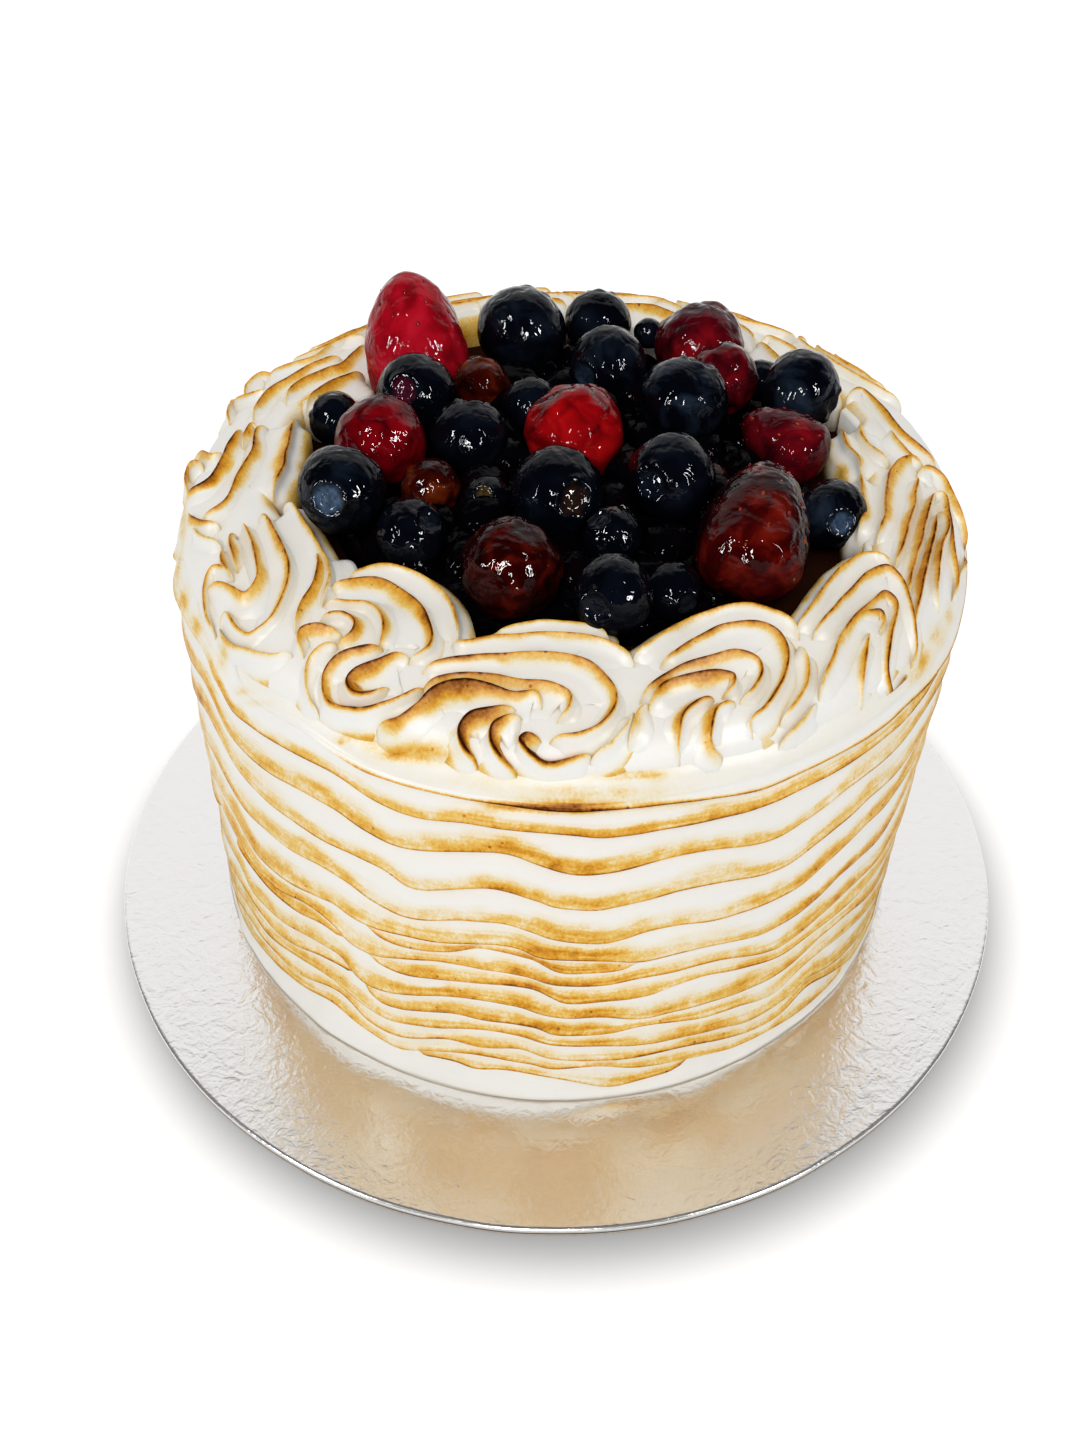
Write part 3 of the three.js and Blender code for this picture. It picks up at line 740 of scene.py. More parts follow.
def torched_meringue(name, grain=1.0, combed=False):
    """Soft white meringue that browns with the "toast" attribute, in grains and dark specks.

    On the combed side the grains are drawn out along the comb's lines, by noise whose height is the
    "level" attribute. Hollows get painted shade: the colour is darkened towards a warm brown by what
    lies within 4 mm of them. The browning attribute also holds painted shade in some crevices.
    """
    m = Shading(name)
    toast = m.number("toast")
    band = m.math("MULTIPLY", toast, m.math("SUBTRACT", 1.15, toast))
    coarse = m.math("SUBTRACT", m.noise(3.4, 3), 0.5)
    fine = m.math("SUBTRACT", m.noise(0.6, 2), 0.5)
    stir = m.math("ADD", m.math("MULTIPLY", coarse, 2.0 * grain), m.math("MULTIPLY", fine, 1.3 * grain))
    relief = m.noise(1.6, 2)
    if combed:
        parts = m.add("ShaderNodeSeparateXYZ", {"Vector": m.place}).outputs
        drawn_place = {axis: m.math("MULTIPLY", parts[axis], 1 / (12 * MM)) for axis in ("X", "Y")}
        drawn_place["Z"] = m.math("MULTIPLY", m.number("level"), 1.1)
        drawn = m.add("ShaderNodeCombineXYZ", drawn_place).outputs[0]
        streak = m.add("ShaderNodeTexNoise", {"Vector": drawn, "Scale": 1.0, "Detail": 3.0}).outputs["Fac"]
        stir = m.math("MULTIPLY_ADD", m.math("SUBTRACT", streak, 0.5), 1.8 * grain, stir)
        relief = m.math("MULTIPLY_ADD", streak, 1.6, relief)
    level = m.math("MULTIPLY_ADD", band, stir, toast)
    cells = m.add("ShaderNodeTexVoronoi", {"Vector": m.place, "Scale": 1 / (2.3 * MM)})
    chance = m.add("ShaderNodeSeparateColor", {"Color": cells.outputs["Color"]}).outputs[0]
    speck = m.math("LESS_THAN", cells.outputs["Distance"], m.math("MULTIPLY", chance, 0.17))
    speck = m.math("MULTIPLY", speck, m.math("GREATER_THAN", level, 0.3))
    level = m.math("MULTIPLY_ADD", speck, 0.24, level, clamp=True)
    colour = m.ramp(level, [
        (0.0, (0.93, 0.91, 0.865)),
        (0.12, (0.91, 0.82, 0.62)),
        (0.28, (0.87, 0.57, 0.13)),
        (0.46, (0.76, 0.35, 0.018)),
        (0.66, (0.47, 0.16, 0.006)),
        (0.84, (0.19, 0.05, 0.004)),
        (1.0, (0.022, 0.007, 0.003)),
    ])
    # painted shade: ambient occlusion within 4 mm darkens the colour of hollows towards a warm brown
    hollow = m.add("ShaderNodeAmbientOcclusion", {"Distance": 4 * MM}, samples=6).outputs["AO"]
    painted_shade = m.ramp(hollow, [(0.15, (0.66, 0.56, 0.42)), (0.55, (0.93, 0.90, 0.83)), (0.9, (1.0, 1.0, 1.0))])
    colour = m.mix(1.0, colour, painted_shade, "MULTIPLY")
    dimple = m.math("MULTIPLY_ADD", level, -0.6, relief)
    m.set(
        base_color=colour,
        roughness=0.42,
        specular_ior_level=m.math("MULTIPLY_ADD", level, -0.38, 0.34, clamp=True),
        subsurface_weight=0.10,
        subsurface_radius=(1.0, 0.6, 0.35),
        subsurface_scale=0.0016,
        normal=m.bump(dimple, 0.25, 0.25),
    )
    return m.material


def foil_material(colour):
    """Crinkled foil: a metal whose bump is noise of a few sizes."""
    m = Shading("crinkled_foil")
    folds = m.noise(3.6, 2, 1.2)
    creases = m.noise(1.3, 2, 1.0)
    height = m.math("MULTIPLY_ADD", creases, 0.4, folds)
    m.set(
        base_color=(*colour, 1),
        metallic=0.82,
        roughness=0.18,
        normal=m.bump(height, 0.6, 0.19),
    )
    return m.material


def card_core():
    """Grey-brown board between the two foils."""
    m = Shading("card_core")
    fibres = m.ramp(m.noise(0.8, 3), [(0.3, (0.42, 0.33, 0.24)), (0.7, (0.58, 0.48, 0.37))])
    m.set(base_color=fibres, roughness=0.85)
    return m.material


def fruit_material(name, stops, glaze, size=5.0, seed=0.0, spot=None, coat=1.0, rim=0.85):
    """Skin in soft patches of colour under a clear glaze, darkened by rim with painted shade where it turns
    away.

    stops are the ramp's colours over noise of the given size. spot is the colour that the "mark"
    attribute brings in. rim is how strongly the painted shade darkens the rim. The glaze's coat is
    weaker on the undersides, which is painted shade: they reflect less of the bright floor.
    """
    m = Shading(name)
    shift = {"Vector": m.place, "Location": (seed, seed * 0.7, -seed)}
    moved = m.add("ShaderNodeMapping", shift).outputs["Vector"]
    patch = m.noise(size, 3, 0.6, moved)
    colour = m.ramp(patch, stops)
    if spot is not None:
        colour = m.mix(m.number("mark"), colour, spot)
    # painted shade: the colour darkens towards black by rim where the skin turns away from the view
    edge = m.math("POWER", m.add("ShaderNodeLayerWeight", {"Blend": 0.5}).outputs["Facing"], 1.4)
    colour = m.mix(m.math("MULTIPLY", edge, rim), colour, (0.0015, 0.001, 0.0015))
    # painted shade: the glaze's coat thins where the skin faces down, so the undersides reflect less
    facing = m.add("ShaderNodeNewGeometry").outputs["Normal"]
    upward = m.add("ShaderNodeSeparateXYZ", {"Vector": facing}).outputs["Z"]
    lifted = m.add("ShaderNodeMapRange", {"Value": upward, 1: 0.05, 2: 0.45, 3: 0.3 * coat, 4: coat})
    ripple = m.math("MULTIPLY_ADD", m.noise(1.4, 1, 0.7, moved), 0.24, m.noise(3.8, 1, 0.8, moved))
    m.set(
        base_color=colour,
        roughness=0.32,
        specular_ior_level=0.0,
        coat_weight=lifted.outputs["Result"],
        coat_roughness=glaze,
        coat_ior=1.24,
        coat_normal=m.bump(ripple, 0.75, 0.75),
    )
    return m.material


def blueberry_material(name, navy, bloom, amount, glaze, seed, crown):
    """Blue-black skin with waxy bloom in patches, and a crown in the "mark" attribute."""
    dark = [c * 0.6 for c in navy]
    half = [a + (b - a) * 0.35 * amount for a, b in zip(navy, bloom)]
    full = [a + (b - a) * amount for a, b in zip(navy, bloom)]
    stops = [(0.3, dark), (0.48, navy), (0.62, half), (0.78, full)]
    return fruit_material(name, stops, glaze, 6.0, seed, crown)


# Skins of the red fruit: each colour with its place on the noise.
FRUIT_COLOURS = {
    "rose": ((0.3, (0.22, 0.002, 0.006)), (0.5, (0.42, 0.004, 0.014)), (0.75, (0.52, 0.010, 0.026))),
    "scarlet": ((0.3, (0.09, 0.001, 0.002)), (0.5, (0.30, 0.002, 0.004)), (0.7, (0.50, 0.005, 0.006))),
    "crimson": ((0.3, (0.05, 0.000, 0.002)), (0.5, (0.16, 0.001, 0.004)), (0.75, (0.30, 0.003, 0.008))),
    "wine": ((0.3, (0.006, 0.0004, 0.0004)), (0.5, (0.024, 0.0008, 0.0006)), (0.74, (0.12, 0.008, 0.003))),
    "wine_red": ((0.3, (0.025, 0.001, 0.003)), (0.5, (0.09, 0.002, 0.006)), (0.75, (0.25, 0.004, 0.008))),
    "garnet": ((0.3, (0.010, 0.0004, 0.0004)), (0.5, (0.050, 0.0012, 0.0012)), (0.75, (0.20, 0.010, 0.004))),
    "amber": ((0.3, (0.010, 0.001, 0.001)), (0.5, (0.045, 0.003, 0.001)), (0.75, (0.20, 0.028, 0.004))),
}


# ------------------------------------------------------------------ the card


def card_skin(card):
    """A turned disc: paper core below, a dark seam, and foil rolled over the upper edge.

    The edge wanders in and out by smooth noise of the angle.
    """
    r, t = card.radius, card.thickness
    outline = [  # radius, height, material from here to the next point: 0 foil, 1 core, 2 seam
        (0.5, 0.0, 1), (r - 0.9, 0.0, 1), (r - 0.45, 0.12, 1), (r - 0.2, 0.5, 1), (r - 0.2, 1.05, 2),
        (r - 0.65, 1.2, 2), (r - 0.65, 1.45, 2), (r - 0.15, 1.6, 0), (r, 1.9, 0), (r, 2.5, 0),
        (r - 0.15, 2.8, 0), (r - 0.45, 2.98, 0), (r - 0.9, t, 0), (r - 2, t - 0.03, 0),
        (r - 5, t - 0.02, 0), (r - 12, t, 0), (r - 20, t, 0), (r - 40, t, 0), (0.5, t, 0),
    ]
    columns = 360
    angle = np.arange(columns) * 2 * np.pi / columns
    radius, height, _ = (np.array(column)[:, None] for column in zip(*outline))
    edge = smooth(radius, r - 3, r)
    ring = np.stack([np.cos(angle) * 9, np.sin(angle) * 9, 0 * angle], -1)
    radius = radius - edge * 0.12 * (1 + noise(ring, 3))[None]
    points = np.stack([radius * np.cos(angle), radius * np.sin(angle), height + 0 * angle], -1)
    skin = surface(points)
    chosen = np.repeat([row[2] for row in outline[:-1]], columns)
    return skin, np.concatenate([chosen, np.full(columns, 1), np.full(columns, 0)])


# ------------------------------------------------------------------ the cake


def swell(degrees, z):
    """Rise of the comb lines at an angle, full at mid height and dying away above and below."""
    strength = np.clip((91 - z) / 13, 0, 1) * np.minimum(1, 0.25 + z / 60)
    return sum(strength * rise * bell(turn_apart(degrees, at), width) for at, rise, width in SWELLS)


# Toasted patches on the smooth shoulder, over the comb's top and at the cake's left and right edges:
# place in the frame, half-widths along and across, strength.
SHOULDER_MARKS = (
    (417, 751, 34, 10, 0.36), (396, 755, 14, 5, 0.28), (425, 757, 24, 7, 0.16), (352, 738, 15, 5, 0.26),
    (452, 733, 4, 2, 0.35), (340, 743, 3, 2, 0.25), (372, 745, 12, 5, 0.18),
    (628, 777, 34, 4, 0.22), (602, 793, 60, 8, 0.20), (528, 806, 48, 5, 0.50), (575, 808, 46, 5, 0.52),
    (646, 774, 24, 4, 0.20), (660, 804, 70, 4, 0.20), (490, 780, 50, 8, 0.06),
    (183, 520, 4, 24, 0.25), (177, 568, 4, 16, 0.32), (184, 600, 5, 12, 0.32), (196, 624, 6, 10, 0.25),
    (949, 615, 4, 9, 0.22), (937, 636, 8, 12, 0.20), (924, 661, 9, 10, 0.24), (916, 677, 9, 9, 0.12),
    (223, 655, 5, 14, 0.24), (241, 692, 7, 4, 0.20), (256, 703, 12, 3, 0.14),
)
# Places where the torch stayed longer on the comb: degrees, height, half-widths, strength.
SCORCHES = (
    (-140, 42, 16, 20, 0.12), (-152, 60, 14, 30, 0.12), (-100, 17, 7, 5, 0.25), (-92, 50, 20, 14, 0.08),
    (-62, 30, 14, 16, 0.10), (-30, 50, 16, 24, 0.10), (20, 40, 20, 20, 0.1), (100, 40, 25, 20, 0.1),
    (160, 50, 20, 22, 0.1),
)


def marked(points):
    """Browning of the shoulder at some places: the sum of bells round the named marks."""
    column, row = in_frame(points)
    return sum(
        strength * bell(column - x, along) * bell(row - y, across)
        for x, y, along, across, strength in SHOULDER_MARKS
    )


def on_side(pixels, cake):
    """Degrees round and heights of places in the frame, taken to lie on the leaning side.

    The distance along each sight line is the smaller root of the quadratic for the slanted
    cylinder, or that of the nearest place on the line where it has none.
    """
    eye, ray = sight_lines(pixels)
    slope = cake.lean / (cake.top - LEAN_FOOT)
    shift = CAKE_CENTRE[0] + slope * (eye[2] - LEAN_FOOT)
    start = np.array([eye[0] - shift, eye[1] - CAKE_CENTRE[1]])
    way = np.stack([ray[:, 0] - slope * ray[:, 2], ray[:, 1]], -1)
    a, b = np.sum(way**2, axis=1), way @ start
    c = start @ start - (cake.radius + cake.lip) ** 2
    far = (-b - np.sqrt(np.maximum(b * b - a * c, 0))) / a
    x, y = (start + way * far[:, None]).T
    return np.degrees(np.arctan2(y, x)), eye[2] + far * ray[:, 2]


def lip_heights(cake, degrees, around):
    """The height of each lip round the cake.

    Over the front a lip follows its line. On the far side it has one height plus the swells plus
    smooth noise, blended in over 25 degrees. Within about 11 degrees of its line's ends it is
    averaged over its neighbours. A lip without a height runs 0.75 mm below the one above it, and
    leaves it over 5 degrees. All lips stay between the foot and the flat top.
    """
    lips = []
    turn = turn_apart(degrees, -90)
    for k, (height, line) in enumerate(LIP_LINES):
        places, heights = on_side(rail_curve(line, 12 * len(line)), cake)
        places = turn_apart(places, -90)
        order = np.argsort(places)
        places, heights = places[order], heights[order]
        if height is None:
            base, blend = lips[-1] - LIP_GAP, 5
        else:
            drift = 2.0 * noise(around(26, 3.7 * k), 11) + 0.6 * noise(around(10, 5.1 * k), 12)
            base, blend = height + swell(degrees, height) + cake.wander * drift, 25
        first, last = places[0], places[-1]
        share = smooth(turn, first - blend, first) * (1 - smooth(turn, last, last + blend))
        level = base + (np.interp(turn, places, heights) - base) * share
        if height is not None:
            near_end = np.clip(bell(turn - first, 11) + bell(turn - last, 11), 0, 1)
            level += (averaged(level, 30, 13) - level) * near_end
        level += 0.10 * noise(around(4, 2.3 * k), 14)
        level = np.clip(level, LIP_RANGE[0] + LIP_GAP * (len(LIP_LINES) - 1 - k), LIP_RANGE[1])
        if lips:
            level = np.minimum(level, lips[-1] - LIP_GAP)
        lips.append(level)
    return lips


def cake_skin(cake):
    """The combed side, smooth shoulder and top as one turned skin.

    Between two lips the radius starts below the mean, in the undercut of the upper lip, and grows
    as a power of the way down to stand proud at the lower lip. Where two lips close up the lower
    one fades, so lines join and part. All lips fade between heights 89 and 92, into the shoulder.
    """
    columns = cake.columns
    angle = np.arange(columns) * 2 * np.pi / columns
    degrees = np.degrees(angle)
    circle = np.stack([np.cos(angle), np.sin(angle)], -1) * cake.radius

    def around(size, shift):
        """Places for noise that closes round the cake, with features of the given size."""
        return np.concatenate([circle / size, np.full((columns, 1), shift)], -1)

    def place_at(r, z):
        """Points of a ring, leaning with the cake."""
        shift = cake.lean * np.clip((z - LEAN_FOOT) / (cake.top - LEAN_FOOT), 0, 1)
        x = CAKE_CENTRE[0] + shift + r * np.cos(angle)
        return np.stack([x, CAKE_CENTRE[1] + r * np.sin(angle), z + 0 * angle], -1)

    lips = lip_heights(cake, degrees, around)
    spacing = [lips[0] * 0 + 8.0] + [upper - lower for upper, lower in zip(lips, lips[1:])]
    strength = []
    for k, (space, lip) in enumerate(zip(spacing, lips)):
        uneven = 0.85 + 0.15 * noise(around(14, 9.3 * k), 13)
        strength.append(smooth(space, 0.7, 2.2) * uneven * (1 - smooth(lip, 89, 92)))
    level_step = 6.5
    nominal = [98.0 - level_step * k for k in range(len(lips))]
    rings, toasts, levels = [], [], []

    def side_radius(z):
        """Radius of the side at a height, with the shoulder as a quarter circle."""
        rise = np.clip((z - cake.top) / cake.shoulder + 1, 0, 1)
        return cake.radius - cake.shoulder * (1 - np.sqrt(1 - rise**2))

    def row(r, z, toast, level):
        """Adds a ring of the skin, with its browning and the height that its grain follows."""
        rings.append(place_at(r + 0 * degrees, z))
        toasts.append(toast + 0 * degrees)
        levels.append(level + 0 * degrees)

    def scorched(z):
        """Extra browning at a height: the sum of the named bells."""
        return sum(
            strong * bell(turn_apart(degrees, at), wide) * bell(z - height, high)
            for at, height, wide, high, strong in SCORCHES
        )

    # top, stained by syrup and darkened as painted shade inside the border, and shoulder
    for r, syrup_stain_and_shade in ((2, 1.15), (40, 1.15), (55, 1.15), (59, 1.1), (62, 0.5), (66, 0)):
        row(r, cake.top, syrup_stain_and_shade, cake.top)
    lowest = np.arcsin(np.clip((lips[0] + 0.8 - cake.top) / cake.shoulder + 1, 0.12, 0.99))
    for share in np.linspace(0, 1, 14):
        up = np.pi / 2 + (lowest - np.pi / 2) * share
        z = cake.top - cake.shoulder * (1 - np.sin(up))
        r = side_radius(z)
        uneven = 0.25 * noise(around(16, 2.2 * (1 - share)), 31) * np.sin(2 * up)
        row(r + uneven, z, 0.03 + marked(place_at(r + uneven, z)), nominal[0] + 3)

    # ways down from one lip to the next, with fewer rows for the lower lips, which are closer
    many = np.array([0.0, 0.05, 0.12, 0.24, 0.38, 0.52, 0.66, 0.78, 0.88, 0.95, 0.985, 1.0])
    few = np.array([0.0, 0.1, 0.28, 0.5, 0.7, 0.86, 0.96, 1.0])
    upper = None
    for k, lip in enumerate(lips):
        start = rings[-1][:, 2] if upper is None else upper - 0.3
        upper_strength = 0 if upper is None else strength[k - 1]
        gap = np.maximum(start - lip, 0.3)
        extra = scorched(lip)
        spot = np.stack([circle[:, 0] / 26, circle[:, 1] / 26, lip / 15], -1)
        torch = 0.43 + 0.24 * noise(spot, 21) + 0.12 * noise(around(7, 3.3 * k), 22) + 0.6 * extra
        cover = 3.7 + 1.6 * noise(around(13, 4.4 * k), 41) + 0.7 * noise(around(4, 2.2 * k), 42) + 9 * extra
        cover = np.clip(cover * (0.8 if k < 2 else 1.15) / gap, 0.25, 0.82 - 0.012 * k)
        peak = np.clip(0.7 + 0.35 * noise(around(9, 5.5 * k), 44), 0.4, 0.95)
        sharp = np.clip(0.6 + 0.7 * noise(around(9, 6.6 * k), 43), 0, 1)
        steps = many if k < 6 else few
        for t in steps[1:] if upper is None else steps:
            z = start + (lip - start) * t
            body = 1.25 * t**1.3 * strength[k] - 0.25 * strength[k]
            tuck = -0.9 * upper_strength * (1 - t) ** 4
            wave = 0.22 * noise(around(18, 3.1 * k + t), 51) + 0.07 * noise(around(5, 8.3 * k + 2 * t), 52)
            into = np.clip((t - 1 + cover) / cover, 0, 1)
            line = bell((1 - t) * gap, 0.23) * (0.22 + 0.42 * sharp)
            hump = np.minimum(into / peak, 1 - 0.45 * (into - peak) / (1.05 - peak))
            browning = torch * (0.18 * smooth(into, 0, 0.35) + 0.74 * hump**1.4) + line
            # painted shade as well as browning: the top of each band, in the crevice under the lip above, is
            # browned so its shade reads warm brown
            browning += 0.3 * upper_strength * bell(t * gap, 0.2)
            browning = browning * (0.25 + 0.75 * strength[k])
            if upper is None:
                body = np.maximum(0, body)
                wave = wave * t
                browning = 0.25 * smooth(t, 0.85, 1) + 0.12 * smooth(t, 0.6, 1)
                browning = (browning + 0.5 * bell((1 - t) * gap, 0.28)) * strength[0]
            r = side_radius(z) + cake.lip * (body + tuck) + wave
            browning = browning + marked(place_at(r, z))
            row(r, z, np.clip(browning, 0, 1), nominal[k] + level_step * (1 - t))
        # the lip's underside, in the crevice: browned partly by the torch, partly as painted shade
        under = side_radius(lip) + cake.lip * 0.7 * strength[k] - 0.1
        row(under, lip - 0.12, 0.6 * torch * strength[k], nominal[k])
        upper = lip

    # the plain band at the foot, and its rounded lower edge
    foot_top = lips[-1] - 0.4
    for t in (0.0, 0.15, 0.4, 0.7, 0.9, 1.0):
        spread = 1.3 + 0.5 * noise(around(12, 7.7), 61) + 0.25 * noise(around(4, 1.7), 62)
        z = foot_top + (4.2 - foot_top) * t
        ripple = 0.25 * noise(around(7, 2.5 * t), 63) * np.sin(np.pi * t)
        row(cake.radius - 0.6 + (spread + 0.6) * t + ripple, z, 0, z)
    row(cake.foot + 0.1, 3.12, 0, 3.1)
    row(cake.foot - 0.2, 3.03, 0, 3.0)
    row(cake.foot - 1.5, 3.02, 0, 3.0)
    return surface(np.array(rings), toast=np.array(toasts), level=np.array(levels))


# ------------------------------------------------------------------ the piped border

# Where the torch stayed longer on the scrolls: degrees, radius, half-width, strength.
BURNS = (
    (253.7, 62.6, 4.5, 0.40), (255.5, 74.5, 4, 0.4), (259, 75.5, 4, 0.4), (264, 74, 3.5, 0.4),
    (242, 56.5, 4, 0.5), (237, 64, 5, 0.35), (249, 67, 3.5, 0.3), (162.5, 72.4, 5, 0.3),
    (150, 74.8, 5, 0.25), (182, 71.4, 6, 0.3), (274, 62.7, 4, 0.15), (287, 65.3, 4.5, 0.25),
    (318, 75.3, 4, 0.3), (18.5, 68.6, 3, 0.25), (340, 73, 5, 0.15), (229, 63, 4, 0.15),
)


def top_centre():
    """X, Y of the middle of the cake's top, which the lean has moved."""
    cake = bpy.context.scene.pavlova_cake
    return np.array([CAKE_CENTRE[0] + cake.lean, CAKE_CENTRE[1]])


def on_top(rail):
    """Rail points as X, Y in millimetres."""
    degrees, radius = np.array(rail, float).T
    angle = np.radians(degrees)
    return top_centre() + np.stack([radius * np.cos(angle), radius * np.sin(angle)], -1)


def crown_at(radius, piping):
    """Height of the border: level by the berries, then a quarter of a cosine wave, to the power
    0.8, down to the cake's edge."""
    fall = np.clip((radius - piping.flat) / (piping.reach - piping.flat), 0, 1)
    return piping.brow + (piping.crest - piping.brow) * np.cos(fall * np.pi / 2) ** 0.8


def mound_at(points, piping):
    """Height of the border over a place: the crown, rounded down at the front to meet the comb.

    The rounding is 6.5 times the 2.5th power of the way from radius 71 to 77.3.
    """
    apart = points - top_centre()
    radius = np.linalg.norm(apart, axis=-1)
    front = smooth(-apart[..., 1], -20, 20)
    return crown_at(radius, piping) - 6.5 * front * np.clip((radius - 71) / 6.3, 0, 1.1) ** 2.5


def burnt(points):
    """Extra browning at places on the border: the sum of the named bells."""
    total = 0
    for degrees, radius, width, strength in BURNS:
        spot = on_top([[degrees, radius]])[0]
        total = total + strength * bell(np.linalg.norm(points - spot, axis=-1), width)
    return total


def on_crown(pixels, piping):
    """X, Y of places in the camera's frame, taken to lie on the border.

    The ray through a place meets the level of the border there, whose height is set step by step
    to the border's at the point found.
    """
    eye, ray = sight_lines(pixels)
    height = np.full(len(ray), piping.crest)
    for _ in range(40):
        spot = (eye + ray * ((height - eye[2]) / ray[:, 2])[:, None])[:, :2]
        height = 0.7 * height + 0.3 * mound_at(spot, piping)
    return spot


def squeezed(distance, limit):
    """A distance kept below a limit: d / (1 + (d / limit)^4)^(1/4)."""
    return distance / (1 + (distance / limit) ** 4) ** 0.25


def rib_skin(line, browning, fade, seed, piping):
    """One rib: a wave's section swept along its crest line.

    To the left of the line the section falls steeply. To the right it falls by
    valley (1 - exp(-d / s)) + d / 50 at a distance d, where s is 0.85 of the width of the gold and
    at least 1.5, and then dives under its neighbour. Inside a bend, distances are squeezed to less
    than its radius. Near the cake's edge the gentle side sinks up to 2.6 mm more, so it runs out on
    the shoulder. Beyond its crest, or radius 74, a point's distance from the middle nears 77.2, or
    0.3 beyond a crest that lies further out, as an exponential. Low points are drawn in further, so
    the section stays close to the cake's side. Both ends are rounded as quarter circles.
    """
    dense = rail_curve(line, 40 * len(line))
    run = np.concatenate([[0], np.cumsum(np.linalg.norm(np.diff(dense, axis=0), axis=1))])
    count = int(run[-1] / piping.step) + 4
    place = np.linspace(0, run[-1], count)
    path = np.stack([np.interp(place, run, dense[:, k]) for k in (0, 1)], -1)
    along = np.gradient(path, axis=0)
    along /= np.linalg.norm(along, axis=1)[:, None]
    left = np.stack([-along[:, 1], along[:, 0]], -1)
    bend = np.gradient(np.unwrap(np.arctan2(along[:, 1], along[:, 0])), place)
    bend = np.convolve(np.pad(bend, 2, mode="edge"), np.ones(5) / 5, mode="valid")

    # distances to the left with their drops for a valley of 2 mm, and distances to the right
    steep = np.array([
        (3.2, 11), (3.0, 2.9), (2.2, 2.35), (1.6, 2.1), (1.15, 1.85), (0.85, 1.6), (0.64, 1.25),
        (0.48, 0.8), (0.34, 0.38), (0.2, 0.1), (0.08, 0.01),
    ])
    gentle = np.array([0.0, 0.12, 0.3, 0.55, 0.85, 1.2, 1.6, 2.1, 2.7, 3.4, 4.2, 5.0, 5.9, 6.9, 7.1])
    aside = np.concatenate([steep[:, 0], -gentle])
    to_left = squeezed(steep[:, 0], 0.9 / np.maximum(bend, 0.02)[:, None])
    to_right = squeezed(gentle, 0.9 / np.maximum(-bend, 0.02)[:, None])
    spread = max(1.5, 0.85 * fade)
    fall = piping.valley * (1 - np.exp(-to_right / spread)) + to_right / 50
    fall[:, -1] = 11
    drop = np.concatenate([np.broadcast_to(steep[:, 1] * piping.valley / 2, to_left.shape), fall], axis=1)

    rows = np.stack([place / 7, 0 * place, 0 * place + seed * 1.7], -1)
    sway = 0.14 * noise(rows * 2, 71)
    lift = 0.3 * noise(rows, 72)
    from_end = np.minimum(place, run[-1] - place)
    tip = np.sqrt(1 - (1 - np.clip(from_end / 3.0 + 0.02, 0, 1)) ** 2)[:, None]
    broad = np.sqrt(1 - (1 - np.clip(from_end / (2 + 0.22 * run[-1]) + 0.02, 0, 1)) ** 2)[:, None]
    swing = np.concatenate([to_left * (0.2 + 0.8 * tip), -to_right * (0.15 + 0.85 * broad)], axis=1)
    flat = path[:, None] + left[:, None] * (swing + sway[:, None])[..., None]
    grid = 0 * swing
    streak = np.stack([grid + place[:, None] / 11, grid + aside / 0.9, grid + seed], -1)
    groove = 0.20 * noise(streak, 74) * smooth(-aside, 0.6, 1.6)

    # near the edge of the cake's top, and down its side
    middle = top_centre()
    at_crest = np.linalg.norm(path - middle, axis=1)[:, None]
    out = np.linalg.norm(flat - middle, axis=-1)
    edge = np.maximum(at_crest, 74)
    room = np.maximum(CREST_LIMIT - edge, 0.3)
    bent = edge + room * (1 - np.exp(-np.maximum(out - edge, 0) / room))
    held = np.where(out > edge, bent, out)
    flat = middle + (flat - middle) * (held / out)[..., None]
    mound = np.minimum(mound_at(path, piping)[:, None], mound_at(flat, piping))
    sinking = 2.6 * smooth(-aside, 2.6, 5.5) * smooth(held, 68.5, 73)
    height = mound + lift[:, None] * tip - drop - (piping.valley + 0.6) * (1 - tip) + groove - sinking
    sunk = np.minimum(held, 75.0 + 1.6 * smooth(height, 91, 94) + 6 * smooth(height, 95, 97.5))
    flat = middle + (flat - middle) * (sunk / held)[..., None]

    # browning: gold beside the line, a dark line on the crest and a toned steep face, lower down partly
    # painted shade
    spot = np.stack([flat[..., 0] / 4, flat[..., 1] / 4, grid + seed], -1)
    middle_share = np.clip(np.sin(np.pi * place / run[-1]), 0, 1)[:, None]
    reach = fade * (0.22 + 0.88 * middle_share**0.8) * (1 + 0.4 * noise(spot, 75))
    heat = browning * (0.76 + 0.2 * noise(spot / 2, 76)) * (0.15 + 0.85 * smooth(from_end, 0, 4.5))[:, None]
    heat = heat + 0.8 * burnt(flat) * (0.5 + 0.5 * smooth(from_end, 0, 2))[:, None]
    distance = -swing
    gold = heat * 0.78 * (1 - smooth(distance, 0, 1.25 * reach)) ** 1.05
    dots = 0.75 + 0.5 * noise(spot * 6, 77)
    line_dark = (0.12 + 0.55 * heat) * dots * bell(distance + 0.04, 0.16)
    face = heat * 0.70 * (1 - smooth(-distance, 0.12, 0.5))
    # low on the steep face: tan that is partly torch browning, partly painted shade in the hollow under the
    # crest
    face = face + 0.27 * smooth(-distance, 1.3, 2.6) * (1 + 0.6 * noise(spot * 1.5, 78))
    points = np.concatenate([flat, height[..., None]], -1)
    toast = np.where(distance < 0, face, gold) + line_dark + marked(points)
    return surface(points, toast=np.clip(toast, 0, 1))


def inner_edge(scrolls, degrees):
    """Radius of the border's inner edge at some angles: the least of the crest lines within three
    degrees, at most 62, averaged over its neighbours."""
    points = np.vstack([rail_curve(line, 60) for lines in scrolls.values() for _, _, line in lines])
    apart = points - top_centre()
    turns, radii = np.degrees(np.arctan2(apart[:, 1], apart[:, 0])), np.linalg.norm(apart, axis=1)
    away = np.abs(turn_apart(degrees[:, None], turns[None]))
    nearest = np.where(away < 3, radii, 62).min(axis=1)
    return averaged(nearest, 9, 5)


